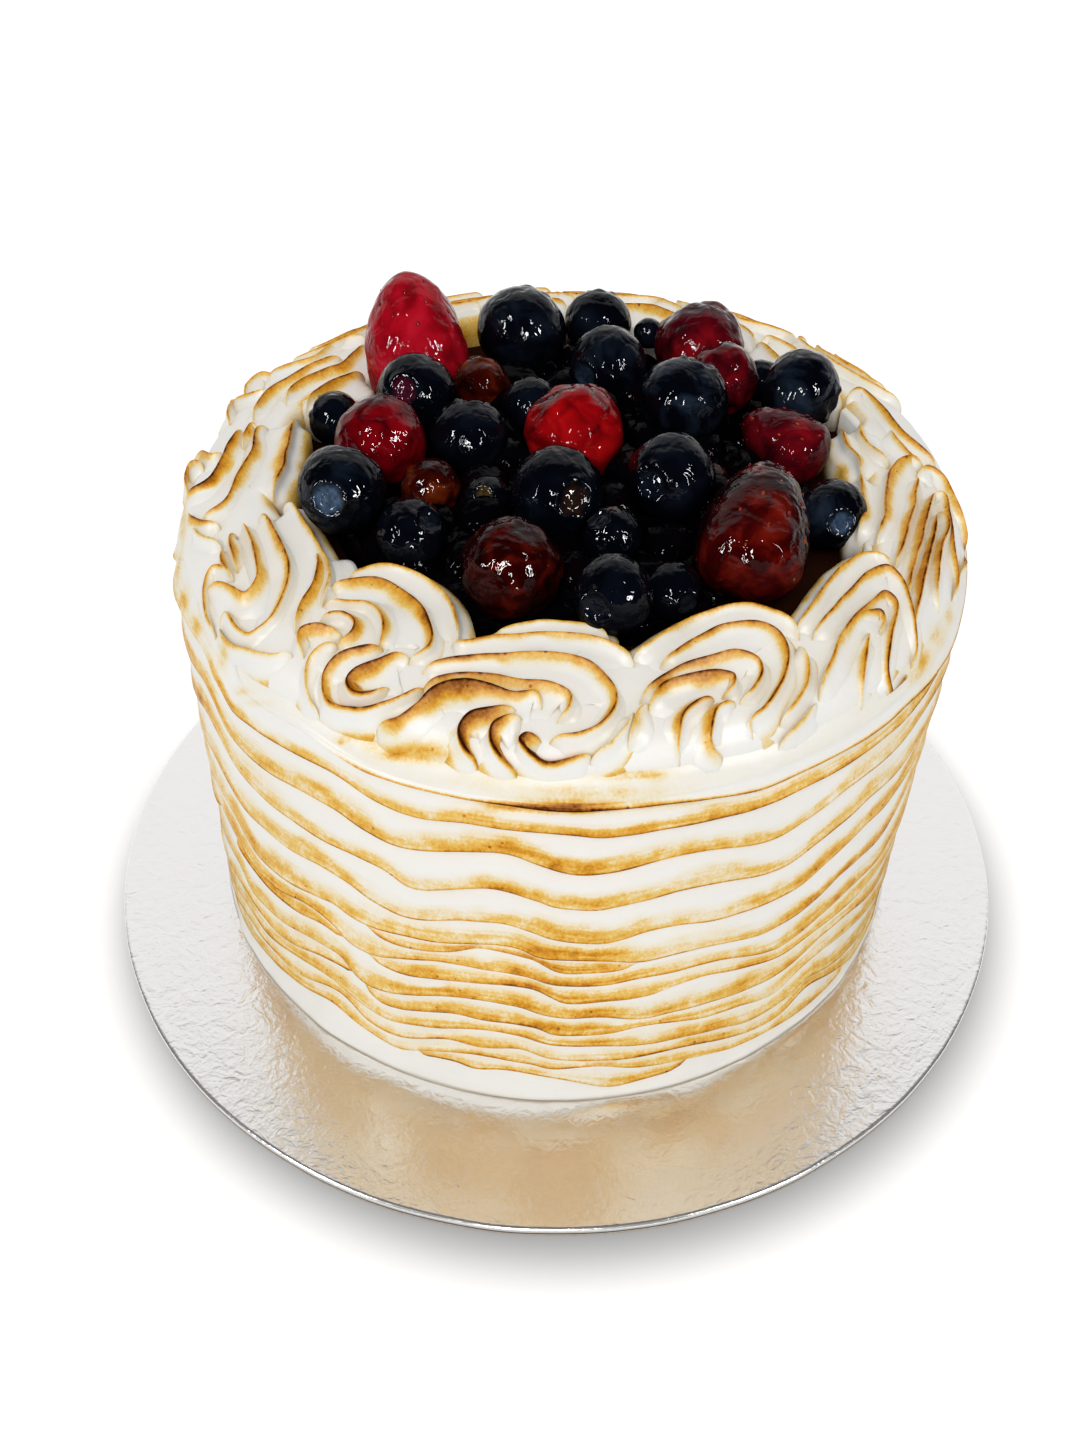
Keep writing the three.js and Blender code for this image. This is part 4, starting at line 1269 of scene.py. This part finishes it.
def footing_skin(piping, scrolls, columns=360):
    """The ring under the scrolls: a turned section that follows the border one valley below it.

    Its inner wall stands a little outside the innermost crest lines. At the back and towards the
    rim it lies deeper, where only the arches show.
    """
    outer, foot, inner_foot = 76.5, 86.0, 92.0  # the ring's outer radius and the heights it goes down to
    angle = np.arange(columns) * 2 * np.pi / columns
    inside = np.clip(inner_edge(scrolls, np.degrees(angle)) + 1.6, 49.6, 60)[None]
    wall = np.array([-0.2, -0.3, -0.2, 0.2, 0.8, 1.7])[:, None]
    share = np.linspace(0, 1, 36)[1:, None]
    radius = np.vstack([inside + wall, inside + 1.7 + (outer - inside - 1.7) * share])
    x, y = top_centre()
    flat = np.stack([x + radius * np.cos(angle), y + radius * np.sin(angle)], -1)
    cut = np.concatenate([[9.5, 6.5, 4.0, 2.0, 0.9, 0.25], np.zeros(35)])[:, None]
    back = smooth(flat[..., 1], -10, 30) * smooth(radius, 73, outer) * 7
    back = back + 3.6 * smooth(radius, 74.6, outer)
    height = mound_at(flat, piping) - piping.valley - 0.12 - cut - back
    height += 0.30 * noise(np.concatenate([flat / 6, height[..., None] / 6], -1), 83)
    points = np.concatenate([flat, height[..., None]], -1)
    under = np.stack([flat[-1, :, 0], flat[-1, :, 1], foot + 0 * angle], -1)
    floor = np.stack([flat[0, :, 0], flat[0, :, 1], inner_foot + 0 * angle], -1)
    points = np.concatenate([floor[None], points, under[None]])
    wall_toast_and_shade = np.zeros(points.shape[:2])
    # the inner wall's rows are browned: partly torch browning, partly painted shade in the recess between
    # the scrolls and the fruit
    wall_toast_and_shade[:9] = np.array([0.30, 0.32, 0.34, 0.34, 0.32, 0.28, 0.2, 0.12, 0.05])[:, None]
    wall_toast_and_shade = np.clip(wall_toast_and_shade * (1 + 0.8 * noise(points / 5, 82)) + marked(points), 0, 1)
    # the ring closes both ways, so its last row is joined to its first
    return surface(np.concatenate([points, points[:1]]), caps=False, toast=np.concatenate([wall_toast_and_shade, wall_toast_and_shade[:1]]))


# ------------------------------------------------------------------ the fruit


def sphere_grid(rows, columns):
    """Polar angles, turns and unit directions of a grid over a ball."""
    polar = np.linspace(0.02, np.pi - 0.02, rows)[:, None]
    turn = (np.arange(columns) * 2 * np.pi / columns)[None]
    level = np.cos(polar) + 0 * turn
    direction = np.stack([np.sin(polar) * np.cos(turn), np.sin(polar) * np.sin(turn), level], -1)
    return polar, turn, direction


def dents(direction, seed, count, depth, size):
    """Shallow bells pressed into a ball at seeded directions, as parts of its radius."""
    random = np.random.default_rng(seed)
    total = np.zeros(direction.shape[:-1])
    for _ in range(count):
        way = random.normal(size=3)
        way /= np.linalg.norm(way)
        apart = np.arccos(np.clip(direction @ way, -1, 1))
        total -= depth * random.uniform(0.4, 1) * bell(apart, size * random.uniform(0.6, 1.3))
    return total


def blueberry_skin(centre, radius, turn, seed, dent):
    """A ball a little flatter along its crown, which is a rim of five lobes round a dip.

    The radius is one, less the seeded dents, plus the rim as a bell of the polar angle that
    swells with the cosine of five turns, less the dip inside it.
    """
    polar, around, direction = sphere_grid(60, 84)
    lobes = 0.55 + 0.45 * np.cos(5 * around + seed)
    rim = 0.055 * bell(polar - 0.40, 0.085) * lobes
    dip = 0.12 * (1 - smooth(polar, 0.22, 0.40))
    place = direction * 1.6 + seed * 3.1
    size = 1 + rim - dip + dents(direction, seed, 4, dent, 0.5)
    size = size + 0.018 * noise(place * 2, 91) + 0.006 * noise(place * 5, 92)
    shape = direction * size[..., None] * [1, 1, 0.93]
    points = np.array(centre) + radius * shape @ axes_along(pointing(turn)).T
    crown = 1 - smooth(polar + 0.05 * noise(place * 4, 93), 0.28, 0.37)
    mark = crown * (0.66 + 0.45 * noise(place * 9, 98))
    return surface(points, mark=np.clip(mark, 0, 1))


def round_skin(centre, radius, turn, seed, dent, lumps):
    """A lumpy ball: one, less seeded dents, plus lumps times coarse noise, plus a little fine noise."""
    _, _, direction = sphere_grid(60, 84)
    place = direction * 1.5 + seed * 2.7
    folds = 0.035 * noise(place * 2, 94) + 0.02 * noise(place * 1.1, 99)
    size = 1 + dents(direction, seed, 7, dent, 0.38) + lumps * folds + 0.010 * noise(place * 5, 95)
    points = np.array(centre) + radius * (direction * size[..., None]) @ axes_along(pointing(turn)).T
    return surface(points, mark=0.0)


def strawberry_width(v):
    """Width of a strawberry at a part v of its length, from a blunt root-shaped broad end to a tip
    that narrows as one minus a power."""
    broad = np.sqrt(1 - (1 - np.minimum(v / 0.3, 1)) ** 2.2)
    return broad * (1 - np.maximum(0, (v - 0.3) / 0.7) ** 2.2) ** 0.6


def strawberry_skins(base, radius, length, turn, seed, pits=46):
    """A strawberry's body, with a pit round each seed, and its seeds as small flattened balls.

    The seeds follow a golden spiral from the broad end to the tip.
    """
    v = (1 - np.cos(np.linspace(0.06, np.pi - 0.04, 84))) / 2
    columns = 100
    around = np.arange(columns) * 2 * np.pi / columns
    wide = strawberry_width(v)[:, None]
    level = (v * length / radius)[:, None] + 0 * around
    direction = np.stack([wide * np.cos(around), wide * np.sin(around), level], -1)
    seed_v = 0.10 + 0.82 * (np.arange(pits) + 0.5) / pits
    seed_turn = np.arange(pits) * GOLDEN_TURN + seed
    seed_wide = strawberry_width(seed_v)
    seed_level = seed_v * length / radius
    seeds = np.stack([seed_wide * np.cos(seed_turn), seed_wide * np.sin(seed_turn), seed_level], -1)
    apart = np.linalg.norm(direction[:, :, None] - seeds, axis=-1).min(-1)
    pit = 0.03 * bell(apart, 0.08)
    place = direction * 1.5 + seed * 1.3
    lump = 0.05 * noise(place, 96) + 0.02 * noise(place * 2.5, 97)
    out = direction * [1, 1, 0]
    out = out / np.maximum(np.linalg.norm(out, axis=-1, keepdims=True), 1e-6)
    body = direction + out * (lump - pit)[..., None] * np.minimum(1, wide * 2)[..., None]
    axes = axes_along(pointing(turn))
    skin = surface(np.array(base) + radius * body @ axes.T, mark=np.clip(bell(apart, 0.12), 0, 1) * 0.5)

    _, _, ball = sphere_grid(6, 8)
    grains = []
    for place, spin in zip(seeds, seed_turn):
        flat = np.array([np.cos(spin), np.sin(spin), 0])
        up = np.array([0, 0, 1.0])
        side = np.cross(up, flat)
        grain = ball[..., :1] * side * 0.035 + ball[..., 1:2] * flat * 0.022 + ball[..., 2:] * up * 0.062
        middle = place - flat * 0.035
        grains.append(surface(np.array(base) + radius * (middle + grain) @ axes.T, mark=0.0))
    return skin, joined(grains)


def bed_skin(columns=120):
    """The syrup's mound, turned from its outline, with smooth noise, and sunk berries in a spiral.

    A sunk berry's centre lies 0.4 of its radius under a dome that falls from 107.5 by 4.5 times the
    square of its distance from the middle over 42.
    """
    foot = 97.05  # just over the cake's top
    outline = rail_curve(MOUND, 26)
    angle = np.arange(columns) * 2 * np.pi / columns
    radius, height = outline[::-1, 0][:, None], outline[::-1, 1][:, None]
    radius = np.maximum(radius, 0.5)
    x, y = top_centre()
    flat = np.stack([x + radius * np.cos(angle), y + radius * np.sin(angle)], -1)
    lift = 0.5 * noise(np.concatenate([flat / 7, height[..., None] + 0 * flat[..., :1]], -1), 101)
    points = np.concatenate([flat, (height + np.minimum(lift, 0) * smooth(height, 98, 101))[..., None]], -1)
    closed = np.concatenate([points, [points[-1] * [1, 1, 0] + [0, 0, foot]]])
    parts = [surface(closed, mark=0.0)]
    random = np.random.default_rng(7)
    count = 60
    for k in range(count):
        spread = 42.5 * np.sqrt((k + 0.5) / count)
        spin = k * GOLDEN_TURN
        size = random.uniform(4.6, 6.6)
        level = 107.5 - 4.5 * (spread / 42) ** 2 - size * 0.4
        centre = [x + spread * np.cos(spin), y + spread * np.sin(spin), level]
        turn = [random.uniform(0, 360), random.uniform(10, 80)]
        polar, _, direction = sphere_grid(26, 36)
        bump = 1 + 0.03 * noise(direction * 2 + k, 102) - 0.08 * (1 - smooth(polar, 0.2, 0.4))
        grid = np.array(centre) + size * (direction * bump[..., None]) @ axes_along(pointing(turn)).T
        parts.append(surface(grid, mark=0.0))
    return joined(parts)


# ------------------------------------------------------------------ operators


class PavlovaOperator:
    """What the operators share."""

    bl_options = {"REGISTER", "UNDO"}


class PAVLOVA_OT_stage(PavlovaOperator, bpy.types.Operator):
    """Makes the floor, the soft light and the camera"""

    bl_idname = "pavlova.stage"
    bl_label = "Stage"
    # What reflections see of the sky, from the front (0) over the top (0.5) to the back (1).
    SEEN = ((0.635, 0.004), (0.66, 0.16), (0.72, 0.30), (0.76, 0.84), (1.0, 0.92))
    # The floor's painted shadow round the card: its centre, the distances over which it clears, both in
    # metres, and how bright the floor stays in it.
    SHADOW_CENTRE, SHADOW_FADE, SHADOW_LEVEL = (0.001, -0.006, 0), (0.094, 0.110), 0.42
    # The strip lamps: name, degrees round from the front, degrees up, power in watts.
    STRIPS = (("left", -52, 27, 6.5), ("front", -6, 22, 6.0), ("right", 44, 27, 6.5))
    STRIP_SIZE, STRIP_DISTANCE, STRIP_AIM = (0.05, 0.34), 0.8, (0, 0, 0.1)
    # The broad lamp: degrees round from the front, degrees up, width of its disc in degrees.
    KEY_ROUND, KEY_UP, KEY_WIDTH = -9, 46, 24

    def execute(self, context):
        stage = context.scene.pavlova_stage
        self.add_floor(context, stage.floor)
        self.add_sky(context, stage.sky)
        for name, azimuth, elevation, power in self.STRIPS:
            self.add_strip(context, name, azimuth, elevation, power)
        self.add_key(context, stage.key)
        self.add_camera(context, stage.pitch)
        context.scene.view_settings.view_transform = "Standard"
        context.scene.view_settings.look = "None"
        return {"FINISHED"}

    def add_floor(self, context, half):
        """A square floor with a glow of its own and a soft round painted shadow, which falls off by
        distance.
        """
        mesh = bpy.data.meshes.new("floor")
        corners = [(-half, -half, 0), (half, -half, 0), (half, half, 0), (-half, half, 0)]
        mesh.from_pydata(corners, [], [(0, 1, 2, 3)])
        m = Shading("floor_white")
        # the glow is seen in full, and lights the cake from below at less than half its strength
        diffuse = m.add("ShaderNodeLightPath").outputs["Is Diffuse Ray"]
        glow = m.math("MULTIPLY_ADD", diffuse, -0.3, 0.54)
        # painted shadow: the floor's colour and glow darken near the card and clear by distance
        apart = m.add("ShaderNodeVectorMath", {0: m.place, 1: self.SHADOW_CENTRE}, operation="DISTANCE")
        near, far = self.SHADOW_FADE
        fading = {"Value": apart.outputs["Value"], 1: near, 2: far, 3: self.SHADOW_LEVEL, 4: 1.0}
        painted_shade = m.add("ShaderNodeMapRange", fading, interpolation_type="SMOOTHSTEP").outputs["Result"]
        m.set(
            base_color=m.math("MULTIPLY", painted_shade, 0.62), roughness=0.9, specular_ior_level=0.1,
            emission_color=(1, 1, 1, 1), emission_strength=m.math("MULTIPLY", painted_shade, glow),
        )
        mesh.materials.append(m.material)
        floor = bpy.data.objects.new("floor", mesh)
        context.scene.collection.objects.link(floor)

    def add_sky(self, context, strength):
        """Pale light from all round. Reflections see it bright behind and above, dim in front."""
        world = bpy.data.worlds.new("studio")
        world.use_nodes = True
        context.scene.world = world
        tree = world.node_tree
        tree.nodes.clear()
        soft = add_node(tree, "ShaderNodeBackground", {"Color": (1, 1, 1, 1), "Strength": strength})
        direction = add_node(tree, "ShaderNodeTexCoord").outputs["Generated"]
        back = add_node(tree, "ShaderNodeSeparateXYZ", {0: direction}).outputs["Y"]
        turn = add_node(tree, "ShaderNodeMath", {0: back, 1: 0.5, 2: 0.5}, operation="MULTIPLY_ADD")
        stops = [(place, (level, level, level * 1.01)) for place, level in self.SEEN]
        shown = add_ramp(tree, turn.outputs[0], stops)
        seen = add_node(tree, "ShaderNodeBackground", {"Color": shown, "Strength": 1.0})
        path, first = before_diffuse(tree)
        reflected = {0: path.outputs["Is Glossy Ray"], 1: first}
        both = add_node(tree, "ShaderNodeMath", reflected, operation="MULTIPLY").outputs[0]
        skies = {"Fac": both, 1: soft.outputs[0], 2: seen.outputs[0]}
        choice = add_node(tree, "ShaderNodeMixShader", skies).outputs[0]
        add_node(tree, "ShaderNodeOutputWorld", {"Surface": choice})

    def add_strip(self, context, name, azimuth, elevation, power):
        """A tall narrow lamp that faces the berries, and doesn't light the meringue by way of the foil."""
        data = bpy.data.lights.new("strip_" + name, "AREA")
        data.shape = "RECTANGLE"
        data.size, data.size_y = self.STRIP_SIZE
        data.energy = power
        data.use_nodes = True
        tree = data.node_tree
        _, first = before_diffuse(tree)
        tree.links.new(first, tree.nodes["Emission"].inputs["Strength"])
        lamp = bpy.data.objects.new("strip_" + name, data)
        a, e = np.radians(azimuth), np.radians(elevation)
        back = np.array([np.sin(a) * np.cos(e), -np.cos(a) * np.cos(e), np.sin(e)])
        lamp.location = np.array(self.STRIP_AIM) + back * self.STRIP_DISTANCE
        lamp.rotation_euler = (np.pi / 2 - e, 0, a)
        lamp.visible_diffuse = False
        context.scene.collection.objects.link(lamp)

    def add_key(self, context, power):
        """A soft lamp from the upper left of the front, for the shading of the relief."""
        data = bpy.data.lights.new("key", "SUN")
        data.energy = power
        data.angle = np.radians(self.KEY_WIDTH)
        lamp = bpy.data.objects.new("key", data)
        lamp.rotation_euler = (np.radians(90 - self.KEY_UP), 0, np.radians(self.KEY_ROUND))
        lamp.visible_glossy = False
        context.scene.collection.objects.link(lamp)

    def add_camera(self, context, pitch):
        """The camera. Its view is shifted to put the aim on its row of the frame."""
        data = bpy.data.cameras.new("camera")
        data.sensor_width = 36
        data.lens = FOCAL / FRAME_HEIGHT * data.sensor_width
        data.shift_y = (CAMERA_ROW - FRAME_HEIGHT / 2) / FRAME_HEIGHT
        data.clip_start, data.clip_end = 0.01, 50
        camera = bpy.data.objects.new("camera", data)
        eye, _, _ = camera_axes()
        camera.location = eye * MM
        camera.rotation_euler = (np.pi / 2 - np.radians(pitch), 0, 0)
        context.scene.collection.objects.link(camera)
        context.scene.camera = camera


class PAVLOVA_OT_card(PavlovaOperator, bpy.types.Operator):
    """Makes the round card with its crinkled foil"""

    bl_idname = "pavlova.card"
    bl_label = "Foil card"

    def execute(self, context):
        card = context.scene.pavlova_card
        skin, chosen = card_skin(card)
        seam = Shading("card_seam")
        seam.set(base_color=(0.03, 0.03, 0.03, 1), roughness=0.7)
        materials = [foil_material(card.foil), card_core(), seam.material]
        add_piece("foil_card", skin, materials, ["board"], chosen)
        return {"FINISHED"}


class PAVLOVA_OT_cake(PavlovaOperator, bpy.types.Operator):
    """Makes the combed and torched meringue"""

    bl_idname = "pavlova.cake"
    bl_label = "Combed meringue"

    def execute(self, context):
        skin = cake_skin(context.scene.pavlova_cake)
        material = torched_meringue("torched_meringue", combed=True)
        add_piece("combed_meringue", skin, [material], ["cake"])
        return {"FINISHED"}


class PAVLOVA_OT_piping(PavlovaOperator, bpy.types.Operator):
    """Makes the piped scrolls and the ring under them"""

    bl_idname = "pavlova.piping"
    bl_label = "Piped border"

    def execute(self, context):
        piping = context.scene.pavlova_piping
        material = torched_meringue("torched_piping", 0.8)
        scrolls = {
            name: [(browning, fade, on_crown(pixels, piping)) for browning, fade, pixels in lines]
            for name, lines in CREST_LINES.items()
        }
        for name, at in ARCH_PLACES.items():
            outer, inner = (on_top([[at + degrees, radius] for degrees, radius in rail]) for rail in ARCH)
            shares = np.linspace(0, 1, piping.ribs)
            scrolls[name] = [(0.7, 1.2, outer + (inner - outer) * share) for share in shares]
        for number, (name, lines) in enumerate(scrolls.items()):
            ribs = [
                rib_skin(line, browning, fade, number * 20 + k, piping)
                for k, (browning, fade, line) in enumerate(lines)
            ]
            add_piece("scroll_" + name, joined(ribs), [material], ["piped_border"])
        add_piece("scroll_footing", footing_skin(piping, scrolls), [material], ["piped_border"])
        return {"FINISHED"}


class PAVLOVA_OT_bed(PavlovaOperator, bpy.types.Operator):
    """Makes the syrup and the sunk berries under the heap"""

    bl_idname = "pavlova.bed"
    bl_label = "Berry bed"

    def execute(self, context):
        glaze = context.scene.pavlova_fruit.glaze
        # near-black, with little shine: the dark syrup and sunk berries, and also painted shade for the gaps
        # between the heap's berries
        stops = [(0.3, (0.0006, 0.0006, 0.001)), (0.6, (0.0015, 0.001, 0.002)), (0.8, (0.006, 0.001, 0.002))]
        material = fruit_material("dark_syrup", stops, glaze, 9.0, coat=0.3)
        add_piece("sunk_berries", bed_skin(), [material], ["berry_bed"])
        return {"FINISHED"}


class PAVLOVA_OT_blueberries(PavlovaOperator, bpy.types.Operator):
    """Makes the glazed blueberries"""

    bl_idname = "pavlova.blueberries"
    bl_label = "Blueberries"

    def execute(self, context):
        fruit = context.scene.pavlova_fruit
        for seed, (name, (centre, radius, turn)) in enumerate(BLUEBERRIES.items()):
            skin = blueberry_skin(centre, radius, turn, seed, fruit.dents)
            amount = BLOOMS.get(name, USUAL_BLOOM)
            crown = CROWNS.get(name, USUAL_CROWN)
            material = blueberry_material(
                "skin_" + name, fruit.navy, fruit.bloom, amount, fruit.glaze, seed * 0.013, crown
            )
            add_piece("glazed_" + name, skin, [material], [name])
        return {"FINISHED"}


class PAVLOVA_OT_red_fruit(PavlovaOperator, bpy.types.Operator):
    """Makes the round red fruit and the small pieces"""

    bl_idname = "pavlova.red_fruit"
    bl_label = "Red fruit"

    def execute(self, context):
        fruit = context.scene.pavlova_fruit
        for seed, (name, (centre, radius, turn, colour)) in enumerate(ROUND_FRUIT.items(), 40):
            lumps = 2.0 if name.startswith(("red_berry_back", "red_berry_middle")) else 1.3
            skin = round_skin(centre, radius, turn, seed, fruit.dents, lumps)
            material = fruit_material("skin_" + name, FRUIT_COLOURS[colour], fruit.glaze, 4.5, seed * 0.011)
            add_piece("glazed_" + name, skin, [material], [name])
        return {"FINISHED"}


class PAVLOVA_OT_strawberries(PavlovaOperator, bpy.types.Operator):
    """Makes the glazed strawberries and their seeds"""

    bl_idname = "pavlova.strawberries"
    bl_label = "Strawberries"

    def execute(self, context):
        fruit = context.scene.pavlova_fruit
        for seed, (name, (base, radius, length, turn, colour)) in enumerate(STRAWBERRIES.items(), 60):
            body, grains = strawberry_skins(base, radius, length, turn, seed)
            # the tall one is paler all over, with less painted shade at its rim and duller seeds
            tall = name == "strawberry_tall"
            rim, seed_colour = (0.45, (0.27, 0.02, 0.01)) if tall else (0.85, (0.42, 0.09, 0.02))
            colours = FRUIT_COLOURS[colour]
            material = fruit_material("skin_" + name, colours, fruit.glaze, 6.0, seed * 0.009, rim=rim)
            add_piece("glazed_" + name, body, [material], [name])
            stops = [(0.4, (0.20, 0.006, 0.006)), (0.6, seed_colour)]
            pips = fruit_material("seeds_" + name, stops, fruit.glaze, 4.0, seed * 0.01)
            add_piece("seeds_of_" + name, grains, [pips], [name])
        return {"FINISHED"}


class PAVLOVA_PT_panel(bpy.types.Panel):
    """Lists the pieces in the sidebar"""

    bl_label = "Pavlova"
    bl_idname = "PAVLOVA_PT_panel"
    bl_space_type = "VIEW_3D"
    bl_region_type = "UI"
    bl_category = "Pavlova"

    def draw(self, context):
        for group, settings in GROUPS.items():
            box = self.layout.box()
            box.label(text=settings.__doc__.strip("."))
            for key in settings.__annotations__:
                box.prop(getattr(context.scene, group), key)
        for operator in OPERATORS:
            self.layout.operator(operator.bl_idname)


OPERATORS = (
    PAVLOVA_OT_stage,
    PAVLOVA_OT_card,
    PAVLOVA_OT_cake,
    PAVLOVA_OT_piping,
    PAVLOVA_OT_bed,
    PAVLOVA_OT_blueberries,
    PAVLOVA_OT_red_fruit,
    PAVLOVA_OT_strawberries,
)


def register():
    for cls in (*GROUPS.values(), *OPERATORS, PAVLOVA_PT_panel):
        bpy.utils.register_class(cls)
    for name, settings in GROUPS.items():
        setattr(bpy.types.Scene, name, PointerProperty(type=settings))


def unregister():
    for name in GROUPS:
        delattr(bpy.types.Scene, name)
    for cls in reversed((*GROUPS.values(), *OPERATORS, PAVLOVA_PT_panel)):
        bpy.utils.unregister_class(cls)


def main():
    register()
    for operator in OPERATORS:
        group, name = operator.bl_idname.split(".")
        getattr(getattr(bpy.ops, group), name)()


if __name__ == "__main__":
    main()
